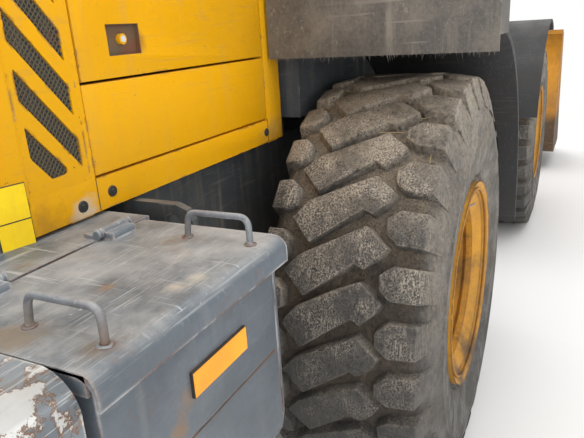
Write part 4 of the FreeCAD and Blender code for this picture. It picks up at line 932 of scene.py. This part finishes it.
def addLatch(bm, side, v):
    # dirty dish in the recess, and the turn knob on its collar
    x0, x1, z0, z1 = v["recess"]
    dirt, floor = v["dirt"], hoodFace + v["depth"]
    addPlate(bm, side, (x0, x1), (floor - 0.0006, floor + 0.001), (z0, z1), 1)
    for x, z in (((x0, x1), (z0, z0 + dirt)), ((x0, x1), (z1 - dirt, z1)),
                 ((x0, x0 + dirt), (z0, z1)), ((x1 - dirt, x1), (z0, z1))):
        addPlate(bm, side, x, (hoodFace + dirt, floor), z, 1)
    x, z = v["knob"]
    collar, radius = spot(x, hoodFace + 0.004, z, side), v["knobRadius"]
    addRod(bm, spot(x, floor, z, side), collar, radius * 1.45, 24, 2)
    addRod(bm, collar, spot(x, hoodFace - 0.0005, z, side), radius * 1.12, 24, 2, radius * 0.95)


for side, name in ((-1, "right"), (1, "left")):
    roundedCopy("side_door_" + name, 0.0028, [paints["hoodYellow"], dirtyDish, knobMetal],
                dress=lambda bm, s=side: addLatch(bm, s, latchValues))
print("doors")

# the slotted panels, and expanded metal behind their slots

ventValues = {
    "panel": (-1.316, -1.170, 0.655, 1.200),
    "ends": (-1.3015, -1.1850),
    "heights": (0.882, 0.827, 0.739, 0.683),  # at the two ends, top and low
    "rises": (0.0, 0.1, 0.2, 0.3),
    "lowest": [(-1.3015, 0.782), (-1.3015, 0.7245), (-1.262, 0.677), (-1.2240, 0.679), (-1.2235, 0.6905)],
    "corner": 0.0055,
    "outer": 0.3198,
    "inner": 0.3258,
    "cutFrom": -1.162,  # the solid panels go behind this
}


def roundOutline(points, cut, steps=4):
    made = []
    for i, corner in enumerate(points):
        before, after = Vector(points[i - 1]), Vector(points[(i + 1) % len(points)])
        corner = Vector(corner)
        start = corner + (before - corner).normalized() * cut
        end = corner + (after - corner).normalized() * cut
        for t in [k / steps for k in range(steps + 1)]:
            made.append((1 - t) ** 2 * start + 2 * t * (1 - t) * corner + t * t * end)
    return made


def addVentPanel(bm, side, v):
    x0, x1, z0, z1 = v["panel"]
    a, b = v["ends"]
    leftTop, leftLow, rightTop, rightLow = v["heights"]
    slots = [v["lowest"]] + [[(a, leftTop + r), (a, leftLow + r), (b, rightLow + r), (b, rightTop + r)]
                             for r in v["rises"]]
    loops = [[(x0, z0), (x1, z0), (x1, z1), (x0, z1)]] + [roundOutline(slot, v["corner"]) for slot in slots]
    edges = []
    for loop in loops:
        ring = [bm.verts.new(spot(x, v["outer"], z, side)) for x, z in loop]
        edges += [bm.edges.new((ring[i - 1], ring[i])) for i in range(len(ring))]
    filled = bmesh.ops.triangle_fill(bm, use_beauty=True, edges=edges)
    raised = bmesh.ops.extrude_face_region(bm, geom=onlyKind(filled, BMFace))
    inward = Vector((0, -side * (v["inner"] - v["outer"]), 0))
    bmesh.ops.translate(bm, vec=inward, verts=onlyKind(raised, BMVert))


panels = cadShape("hood_side_panels")
limit = spot(ventValues["cutFrom"], 0, 0).x
bmesh.ops.delete(panels, geom=[vert for vert in panels.verts if vert.co.x < limit], context="VERTS")
roundEdges(panels, 0.0025)
for side in (-1, 1):
    addVentPanel(panels, side, ventValues)
finishPiece(panels, "hoodPanels", [paints["hoodYellow"]], replaced=["hood_side_panels"], smoothAngle=30,
            outward=True)

screenValues = {
    "slots": [(0.880, 0.825, 0.740, 0.685), (0.980, 0.925, 0.840, 0.785), (1.080, 1.025, 0.940, 0.885),
              (1.180, 1.125, 1.040, 0.985), (0.785, 0.725, 0.640, 0.585)],
    "ends": (-1.304, -1.182),
    "cell": (0.0108, 0.0128),
    "strand": (0.0013, 0.0016),  # half width, and how far it stands out
    "face": 0.3235,  # outer face of the strands
    "overlap": 0.004,
}


def addStrand(bm, start, end, v, side):
    along = (end - start).normalized()
    across = Vector((-along.z, 0, along.x)) * v["strand"][0]
    outward = Vector((0, side * v["strand"][1], 0))
    foot = (start - across, end - across, end + across, start + across)
    crest = (start - across * 0.4, end - across * 0.4, end + across * 0.4, start + across * 0.4)
    a, b, c, d = (bm.verts.new(p) for p in foot)
    e, f, g, h = (bm.verts.new(p + outward) for p in crest)
    for ring in ((a, b, f, e), (d, h, g, c), (e, f, g, h)):
        bm.faces.new(ring)


def addScreen(bm, side, v):
    wide, tall = v["cell"]
    left, right = v["ends"]
    for leftTop, leftLow, rightTop, rightLow in v["slots"]:
        slope = (rightTop - leftTop) / (right - left)
        columns = int((right - left) / (wide / 2))
        rows = int((leftTop - rightLow) / tall) + 2
        for row in range(rows):
            for column in range(columns):
                x = left + column * wide / 2
                z = rightLow - tall + row * tall + (tall / 2 if column % 2 else 0)
                for rise in (tall / 2, -tall / 2):
                    below = leftTop + slope * (x + wide / 4 - left) - (z + rise / 2)
                    if -v["overlap"] < below < leftTop - leftLow + v["overlap"]:
                        start = spot(x, v["face"], z, side)
                        addStrand(bm, start, spot(x + wide / 2, v["face"], z + rise, side), v, side)


finishPiece(bothSides(addScreen, screenValues), "slotMesh", [screenMetal], body=hoodBody, outward=True)
print("slot mesh")

# battery box lids, made anew: bent sheet, round handles and their welds

lidValues = {
    "ends": (-1.621, -1.158),
    "hingeY": 0.21,
    "outerY": -0.108,
    "top": 0.575,
    "lip": 0.528,
    "bend": 0.025,
    "sheet": 0.006,
    "steps": 14,
    "sag": (0.0016, 0.06),  # how deep, and where across the lid
    "flange": 0.004,
    "handles": (-1.562, -1.217),
    "handleFeet": (0.060, -0.070),
    "handleRise": 0.046,
    "handleBend": 0.019,
    "handleRadius": 0.0057,
    "lean": 0.004,
    "weld": (0.0085, 0.0028, 0.0008),  # ring, bead, unevenness
    "hingeFrom": (0.175, 0.0045),  # the solid's hinge parts lie further in than this, and above this depth
}


def addLid(bm, side, v, chance):
    x0, x1 = v["ends"]
    bend, top = v["bend"], v["top"]
    profile = [(v["hingeY"] - 0.002, top)]
    for i in range(9):
        a = math.radians(90 * i / 8)
        profile.append((v["outerY"] + bend - bend * math.sin(a), top - bend + bend * math.cos(a)))
    profile.append((v["outerY"], v["lip"]))
    inner = [(y + (0 if i == 0 else v["sheet"] * 0.9), z - (v["sheet"] if i < len(profile) - 1 else 0))
             for i, (y, z) in enumerate(profile)]
    ring = profile + inner[::-1]
    sag, lowest = v["sag"]
    rings = []
    for k in range(v["steps"] + 1):
        x = x0 + (x1 - x0) * k / v["steps"]
        drop = sag * math.sin(math.pi * k / v["steps"])
        dips = [(drop if z > top - 0.012 else 0) * max(0, 1 - abs(y - lowest) * 5) for y, z in ring]
        rings.append([bm.verts.new(spot(x, y, z - dip, side)) for (y, z), dip in zip(ring, dips)])
    joinRings(bm, rings)
    count = len(ring)
    for end in (rings[0], rings[-1]):
        for i in range(len(profile) - 1):
            bm.faces.new((end[i], end[i + 1], end[count - 2 - i], end[count - 1 - i]))
    # turned-down flanges at both ends
    for x, way in ((x0, 1), (x1, -1)):
        addPlate(bm, side, (x, x + way * v["flange"]), (v["outerY"] + bend * 0.6, v["hingeY"] - 0.004),
                 (top - 0.03, top - 0.002))
    near, far = v["handleFeet"]
    weld, bead, uneven = v["weld"]
    for x in v["handles"]:
        leant, high = x + v["lean"], top + v["handleRise"]
        corners = [spot(x, near, top - 0.004, side), spot(leant, near - 0.004, high, side),
                   spot(leant, far + 0.004, high + 0.001, side), spot(x, far, top - 0.004, side)]
        addTube(bm, bentPath(corners, v["handleBend"]), v["handleRadius"], 14)
        for y in (near, far):
            circle = [spot(x + weld * math.cos(a), y + weld * math.sin(a), top + 0.0005, side)
                      for a in [math.tau * i / 14 for i in range(14)]]
            circle = [p + Vector([chance.uniform(-uneven, uneven) for _ in range(3)]) for p in circle]
            addTube(bm, circle, bead, 6, 1, True)


def makeLid(name, side, v):
    # leaves and knuckles of the solid lid stay, the rest is new
    bm = cadShape("battery_lid_" + name)
    limit = spot(0, v["hingeFrom"][0], v["top"], side)
    gone = [vert for vert in bm.verts
            if abs(vert.co.y) >= abs(limit.y) or vert.co.z <= limit.z - v["hingeFrom"][1]]
    bmesh.ops.delete(bm, geom=gone, context="VERTS")
    addLid(bm, side, v, random.Random(5 + side))
    finishPiece(bm, "bentLid_" + name, [paints["boxGrey"], rawWeld], replaced=["battery_lid_" + name],
                smoothAngle=35, outward=True)


makeLid("right", -1, lidValues)
makeLid("left", 1, lidValues)
print("lids")

# small parts on the tail and the boxes

trimValues = {
    "plugs": [(-1.118, 0.615), (-0.437, 0.615), (-1.203, 0.606)],
    "plugSteps": (0.3205, 0.3165, 0.3150),  # foot, face, tip of the hexagon
    "plugRadii": (0.0125, 0.0112, 0.0062, 0.0055),
    "reflector": (-1.4415, -1.2965, 0.4265, 0.466),
    "reflectorFaces": (-0.0902, -0.0956, -0.0964),  # box wall, frame, lens
    "border": 0.001,
    "joint": (-1.609, -1.196, 0.3634, 0.3666),
    "jointFaces": (-0.0835, -0.0905),
    "sticker": (-1.385, -1.325, 0.5585, 0.687),
    "fold": (-1.323, -0.2198),  # where the hood's corner plate begins, and its slope
}


def addTrim(bm, side, v):
    foot, face, tip = v["plugSteps"]
    wide, narrow, hexWide, hexNarrow = v["plugRadii"]
    for x, z in v["plugs"]:
        middle = spot(x, face, z, side)
        addRod(bm, spot(x, foot, z, side), middle, wide, 24, 0, narrow)
        addRod(bm, middle, spot(x, tip, z, side), hexWide, 6, 0, hexNarrow)
    x0, x1, z0, z1 = v["reflector"]
    wall, frameFace, lensFace = v["reflectorFaces"]
    edge = v["border"]
    addPlate(bm, side, (x0, x1), (wall, lensFace), (z0, z1), 2)
    for x, z in (((x0 - edge, x1 + edge), (z0 - edge, z0)), ((x0 - edge, x1 + edge), (z1, z1 + edge)),
                 ((x0 - edge, x0), (z0, z1)), ((x1, x1 + edge), (z0, z1))):
        addPlate(bm, side, x, (wall, frameFace), z)
    # rusty joint between the box and its lower part
    addPlate(bm, side, v["joint"][:2], v["jointFaces"], v["joint"][2:], 3)


finishPiece(bothSides(addTrim, trimValues), "plugsAndReflectors",
            [blackTrim, stickerYellow, amberLens, rustyJoint], body=hoodBody, outward=True)


def makeStickers(v):
    # a blank yellow label of two cells behind the fold, with a dark edge under it
    bm = bmesh.new()
    foldX, slope = v["fold"]

    def addLabel(x0, x1, low, high, under, slot):
        corners = [(x0, low), (x1, low), (x1, high), (x0, high)]
        made = [bm.verts.new(spot(x, hoodFace + (x - foldX) * slope - 0.0006 + under, z)) for x, z in corners]
        bm.faces.new(made).material_index = slot

    x0, x1, z0, z1 = v["sticker"]
    middle = (z0 + z1) / 2
    addLabel(x0, x1, z0, middle - 0.0012, 0, 0)
    addLabel(x0, x1, middle + 0.0012, z1, 0, 0)
    addLabel(x0 - 0.002, x1 + 0.001, z0 - 0.002, z1 + 0.002, 0.0003, 1)
    finishPiece(bm, "blankStickers", [stickerYellow, blackTrim, stickerWhite], body=hoodBody)


makeStickers(trimValues)
print("trim")

# rear fenders: rubber arcs, and the dirty apron with its frayed lower edge

fenderValues = {
    "apronX": (-0.46, -0.19),
    "apronLow": 0.80,
    "round": 0.0025,
    "threads": 110,
    "threadLength": (0.004, 0.017),
    "threadRadius": (0.0006, 0.0016),
    "edge": (0.305, -0.345, 0.8305),  # from, to, height of the sheet's lower edge
    "sheetX": -0.402,
}


def addThreads(bm, side, v, chance):
    near, far, z = v["edge"]
    for i in range(v["threads"]):
        y = near + (far - near) * (i + chance.random()) / v["threads"]
        start = spot(v["sheetX"] + chance.uniform(0, 0.004), y, z + 0.003, side)
        drop = chance.uniform(*v["threadLength"]) * (0.5 + chance.random())
        lean = Vector((chance.uniform(-0.4, 0.4) * drop, chance.uniform(-0.4, 0.4) * drop, -drop))
        addRod(bm, start, start + lean, chance.uniform(*v["threadRadius"]), 4, 1, 0.0002)


def makeFenders(v):
    bm = cadShape("rear_fenders")
    roundEdges(bm, v["round"])
    low, high = v["apronX"]
    for face in bm.faces:
        middle = face.calc_center_median() - rearRight
        if low < middle.x < high and middle.z > v["apronLow"]:
            face.material_index = 1
    for side in (-1, 1):
        addThreads(bm, side, v, random.Random(40 + side))
    finishPiece(bm, "fendersWithAprons", [fenderRubber, apronRubber], replaced=["rear_fenders"],
                smoothAngle=38)


makeFenders(fenderValues)
print("fenders")

# wheels: nuts, lock ring and valve

wheelValues = {
    "nuts": 20,
    "nutCircle": 0.222,
    "nutFace": 0.030,
    "nutSize": 0.0155,
    "nutHeight": 0.024,
    "stud": (0.0085, 0.010),  # radius, length
    "ringRadius": 0.3405,
    "ringOffset": 0.2405,
    "ringThick": 0.0048,
    "ringSteps": 72,
    "hubBolts": 12,
    "hubCircle": 0.118,
    "hubFace": 0.096,
    "hubBolt": (0.010, 0.012),
    "valve": [(0.262, 0.160), (0.272, 0.205), (0.288, 0.232)],  # radius, offset
    "valveAngle": 1.2,
    "valveRadius": 0.0042,
}


def makeWheelParts(wheelName, v):
    bm = bmesh.new()
    centre = wheelCentre(wheelName)
    side = wheelTurn(wheelName)
    out = Vector((0, side, 0))

    def around(radius, angle, offset):
        return centre + Vector((radius * math.cos(angle), side * offset, radius * math.sin(angle)))

    studRadius, studLength = v["stud"]
    for i in range(v["nuts"]):
        foot = around(v["nutCircle"], math.tau * i / v["nuts"], v["nutFace"])
        addBolt(bm, foot, out, v["nutSize"], v["nutHeight"])
        addRod(bm, foot + out * v["nutHeight"], foot + out * (v["nutHeight"] + studLength), studRadius, 10)
    for i in range(v["hubBolts"]):
        a = math.tau * (i + 0.5) / v["hubBolts"]
        addBolt(bm, around(v["hubCircle"], a, v["hubFace"]), out, *v["hubBolt"])
    steps = v["ringSteps"]
    path = [around(v["ringRadius"], math.tau * i / steps, v["ringOffset"]) for i in range(steps)]
    addTube(bm, path, v["ringThick"], 8, 1, True)
    valve = [around(radius, v["valveAngle"], offset) for radius, offset in v["valve"]]
    addTube(bm, valve, v["valveRadius"], 8)
    finishPiece(bm, "wheelParts_" + wheelName, [wornSteel, paints["rimYellow"]],
                body=nodes["rim_" + wheelName]["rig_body"], smoothAngle=30, outward=True)


for wheelName in wheelNames:
    makeWheelParts(wheelName, wheelValues)
print("wheel parts")

# upright seams of the hood's lower strip

seamValues = {
    "upright": [(-1.158, 0.584, 0.654), (-0.425, 0.584, 0.654)],  # x, low, high
    "width": 0.0018,
    "faces": (0.3215, 0.3196),
}


def addSeams(bm, side, v):
    for x, low, high in v["upright"]:
        half = v["width"] / 2
        addPlate(bm, side, (x - half, x + half), v["faces"], (low, high))


finishPiece(bothSides(addSeams, seamValues), "hoodSeams", [blackTrim], body=hoodBody, outward=True)

# bucket: where its lug plates come through the back, the copy is cut flush and closed

bucketValues = {
    "back": 2.725,  # inner face
    "heel": (3.0, 0.475, 0.275),  # x, z, inner radius
    "lugs": ((0.414, 0.446), (0.554, 0.586)),
    "finWidth": 0.031,
    "finDepth": (0.0012, 0.12),
    "finHeights": (0.25, 0.95),
}


def depthInside(co, v):
    x, z, radius = v["heel"]
    return co.x - v["back"] if co.z > z else radius - math.hypot(co.x - x, co.z - z)


def isFin(face, v):
    middle = face.calc_center_median()
    sides = [vert.co.y for vert in face.verts]
    (least, most), (low, high) = v["finDepth"], v["finHeights"]
    inLug = any(a < abs(y) < b for y in sides for a, b in v["lugs"])
    return (inLug and max(sides) - min(sides) < v["finWidth"] and least < depthInside(middle, v) < most
            and low < middle.z < high)


def makeBucket(v):
    bm = cadShape("bucket")
    bmesh.ops.delete(bm, geom=[face for face in bm.faces if isFin(face, v)], context="FACES")
    rims = [e for e in bm.edges if e.is_boundary and abs(e.verts[0].co.y - e.verts[1].co.y) < 1e-4]
    for side in (-1, 1):
        for low, high in v["lugs"]:
            bmesh.ops.bridge_loops(bm, edges=[e for e in rims if low < side * e.verts[0].co.y < high])
    finishPiece(bm, "bucketShell", [paints["bucketWorn"]], replaced=["bucket"], smoothAngle=30, outward=True)


makeBucket(bucketValues)
print("bucket")

# lamps with their lenses: faces behind the first x or ahead of the second are glass

lampFaces = {"work_lamps": (-2.3325, -0.3425), "headlamps": (-9.0, 0.8695)}


def addLenses(bm, limits):
    for face in bm.faces:
        if not limits[0] <= face.calc_center_median().x <= limits[1]:
            face.material_index = 1


for node, limits in lampFaces.items():
    roundedCopy(node, 0.003, [darkPlastic, lampGlass], dress=lambda bm, lim=limits: addLenses(bm, lim))
print("lamps")

# seat: hard base with bellows, stuffed cushion and back

seatValues = {
    "centre": -1.685,
    "floor": 1.44,
    "base": (-0.18, 0.20, 0.20, 0.33),  # from, to, half width, height
    "plates": (0.05, 0.04),  # lower, upper
    "folds": (5, 0.048, 0.02, 0.012),  # bellows: count, height, inset, and more of it at every second one
    "rails": (0.21, 0.012),
    "cushion": [(-0.245, 0.333), (0.262, 0.333), (0.262, 0.462), (-0.245, 0.462)],
    "back": [(-0.255, 0.468), (-0.125, 0.468), (-0.234, 1.175), (-0.334, 1.175)],
    "halfWidth": 0.242,
    "soft": 0.034,
    "puff": 0.012,
    "ribs": (-0.11, 0.11),
    "furrow": (0.009, 0.022),  # depth, half width
}


def addCushion(outline, v):
    bm = bmesh.new()
    half = v["halfWidth"]
    points = [Vector((v["centre"] + x, 0, v["floor"] + z)) for x, z in outline]
    near = bm.faces.new([bm.verts.new(p + Vector((0, -half, 0))) for p in points])
    raised = bmesh.ops.extrude_face_region(bm, geom=[near])
    bmesh.ops.translate(bm, vec=(0, 2 * half, 0), verts=onlyKind(raised, BMVert))
    bmesh.ops.recalc_face_normals(bm, faces=bm.faces)
    bmesh.ops.bevel(bm, geom=list(bm.edges), offset=v["soft"], segments=4, profile=0.5, affect="EDGES",
                    clamp_overlap=True)
    longEdges = [e for e in bm.edges if e.calc_length() > 0.06]
    bmesh.ops.subdivide_edges(bm, edges=longEdges, cuts=7, use_grid_fill=True)
    bmesh.ops.recalc_face_normals(bm, faces=bm.faces)
    middle = sum(points, Vector()) / 4
    span = max((p - middle).length for p in points)
    depth, reach = v["furrow"]
    for vert in bm.verts:
        across = abs(vert.co.y) / half
        inset = (vert.co - Vector((middle.x, vert.co.y, middle.z))).length / span
        furrow = min(abs(vert.co.y - rib) for rib in v["ribs"])
        swell = v["puff"] * (1 - across ** 2) * max(0.0, 1 - inset ** 2)
        vert.co += vert.normal * (swell - depth * max(0.0, 1 - furrow / reach))
    return bm


def makeSeat(v):
    x0, x1, half, height = v["base"]
    x0, x1, floor = v["centre"] + x0, v["centre"] + x1, v["floor"]
    lower, upper = v["plates"]
    count, fold, least, more = v["folds"]
    bm = bmesh.new()
    addBlock(bm, (x0, -half, floor), (x1, half, floor + lower))
    for i in range(count):
        inset, low = least + more * (i % 2), floor + lower + fold * i
        addBlock(bm, (x0 + inset, -half + inset, low), (x1 - inset, half - inset, low + fold))
    addBlock(bm, (x0, -half, floor + height - upper), (x1, half, floor + height))
    railY, railRadius = v["rails"]
    for y in (-railY, railY):
        z = floor + height - upper / 2
        addRod(bm, Vector((x0, y, z)), Vector((x1, y, z)), railRadius, 12)
    finishPiece(bm, "seatBase", [darkPlastic], replaced=["seat"], smoothAngle=30, outward=True)
    for name in ("cushion", "back"):
        pad = finishPiece(addCushion(v[name], v), "seat_" + name, [seatFabric], replaced=["seat"],
                          smoothAngle=60)


makeSeat(seatValues)
print("seat")

# wipers on the front and rear windows

wiperValues = {
    "front": (1.64, 3.06),
    "frontRises": (0.05, 0.62),  # pivot and tip above the pane's foot
    "rearX": -2.165,
    "rearHeights": (3.02, 2.62),
    "pivotY": 0.05,
    "tipY": -0.34,
    "pivot": (0.03, 0.02),  # length, radius
    "blade": 0.46,
    "arm": 0.0055,
}


def addWiper(bm, pivot, tip, out, v):
    length, radius = v["pivot"]
    addRod(bm, pivot, pivot + out * length, radius, 16)
    knee = pivot + out * 0.026
    addTube(bm, bentPath([knee, knee.lerp(tip, 0.25) + out * 0.014, tip + out * 0.016], 0.05), v["arm"], 8)
    reach = (Vector((0, 0, 1)) - out * out.z).normalized() * v["blade"] / 2
    low, high = tip - reach, tip + reach
    addRod(bm, low + out * 0.0045, high + out * 0.0045, 0.004, 6)
    bow = [low.lerp(high, 0.15) + out * 0.007, tip + out * 0.016, high.lerp(low, 0.15) + out * 0.007]
    addTube(bm, bow, 0.0035, 6)


def makeWipers(v):
    panes = [vert.co for vert in nodes["cab_glass"].data.vertices]
    low, high = v["front"]
    foot = max(co.x for co in panes if co.z < low + 0.05)
    head = max(co.x for co in panes if co.z > high - 0.05)
    slope = Vector((head - foot, 0, high - low)).normalized()
    ys = (v["pivotY"], v["tipY"])
    front = [Vector((foot + (head - foot) * rise / (high - low), y, low + rise))
             for y, rise in zip(ys, v["frontRises"])]
    rear = [Vector((v["rearX"], y, z)) for y, z in zip(ys, v["rearHeights"])]
    bm = bmesh.new()
    addWiper(bm, *front, Vector((slope.z, 0, -slope.x)), v)
    addWiper(bm, *rear, Vector((-1, 0, 0)), v)
    finishPiece(bm, "wipers", [blackTrim], body=nodes["cab_glass"]["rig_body"], smoothAngle=40, outward=True)


makeWipers(wiperValues)
print("wipers")

# straw that lies on the tyres' tops

strawValues = {
    "count": 90,
    "length": (0.02, 0.075),
    "spread": 0.62,  # angle either side of the top
    "width": 0.21,
    "base": 0.7075,
    "lift": (0, 0.012),
    "radius": (0.0006, 0.0013),
}


def addStraw(bm, wheelName, v, chance):
    centre = wheelCentre(wheelName)
    for _ in range(v["count"]):
        angle = chance.gauss(0, v["spread"] / 2)
        y = chance.uniform(-v["width"], v["width"])
        height = v["base"] + chance.uniform(*v["lift"]) - crownDrop(y)
        place = centre + Vector((height * math.sin(angle), y, height * math.cos(angle)))
        turn = chance.uniform(0, math.pi)
        flat = Vector((math.cos(turn) * math.cos(angle), math.sin(turn), -math.cos(turn) * math.sin(angle)))
        reach = flat * chance.uniform(*v["length"]) / 2
        addRod(bm, place - reach, place + reach, chance.uniform(*v["radius"]), 4)


straw = makePlastic("straw", (0.42, 0.32, 0.17), 0.8)
for index, wheelName in enumerate(wheelNames):
    bits = bmesh.new()
    addStraw(bits, wheelName, strawValues, random.Random(70 + index))
    finishPiece(bits, "straw_" + wheelName, [straw], body=nodes["tyre_" + wheelName]["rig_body"])
print("straw")
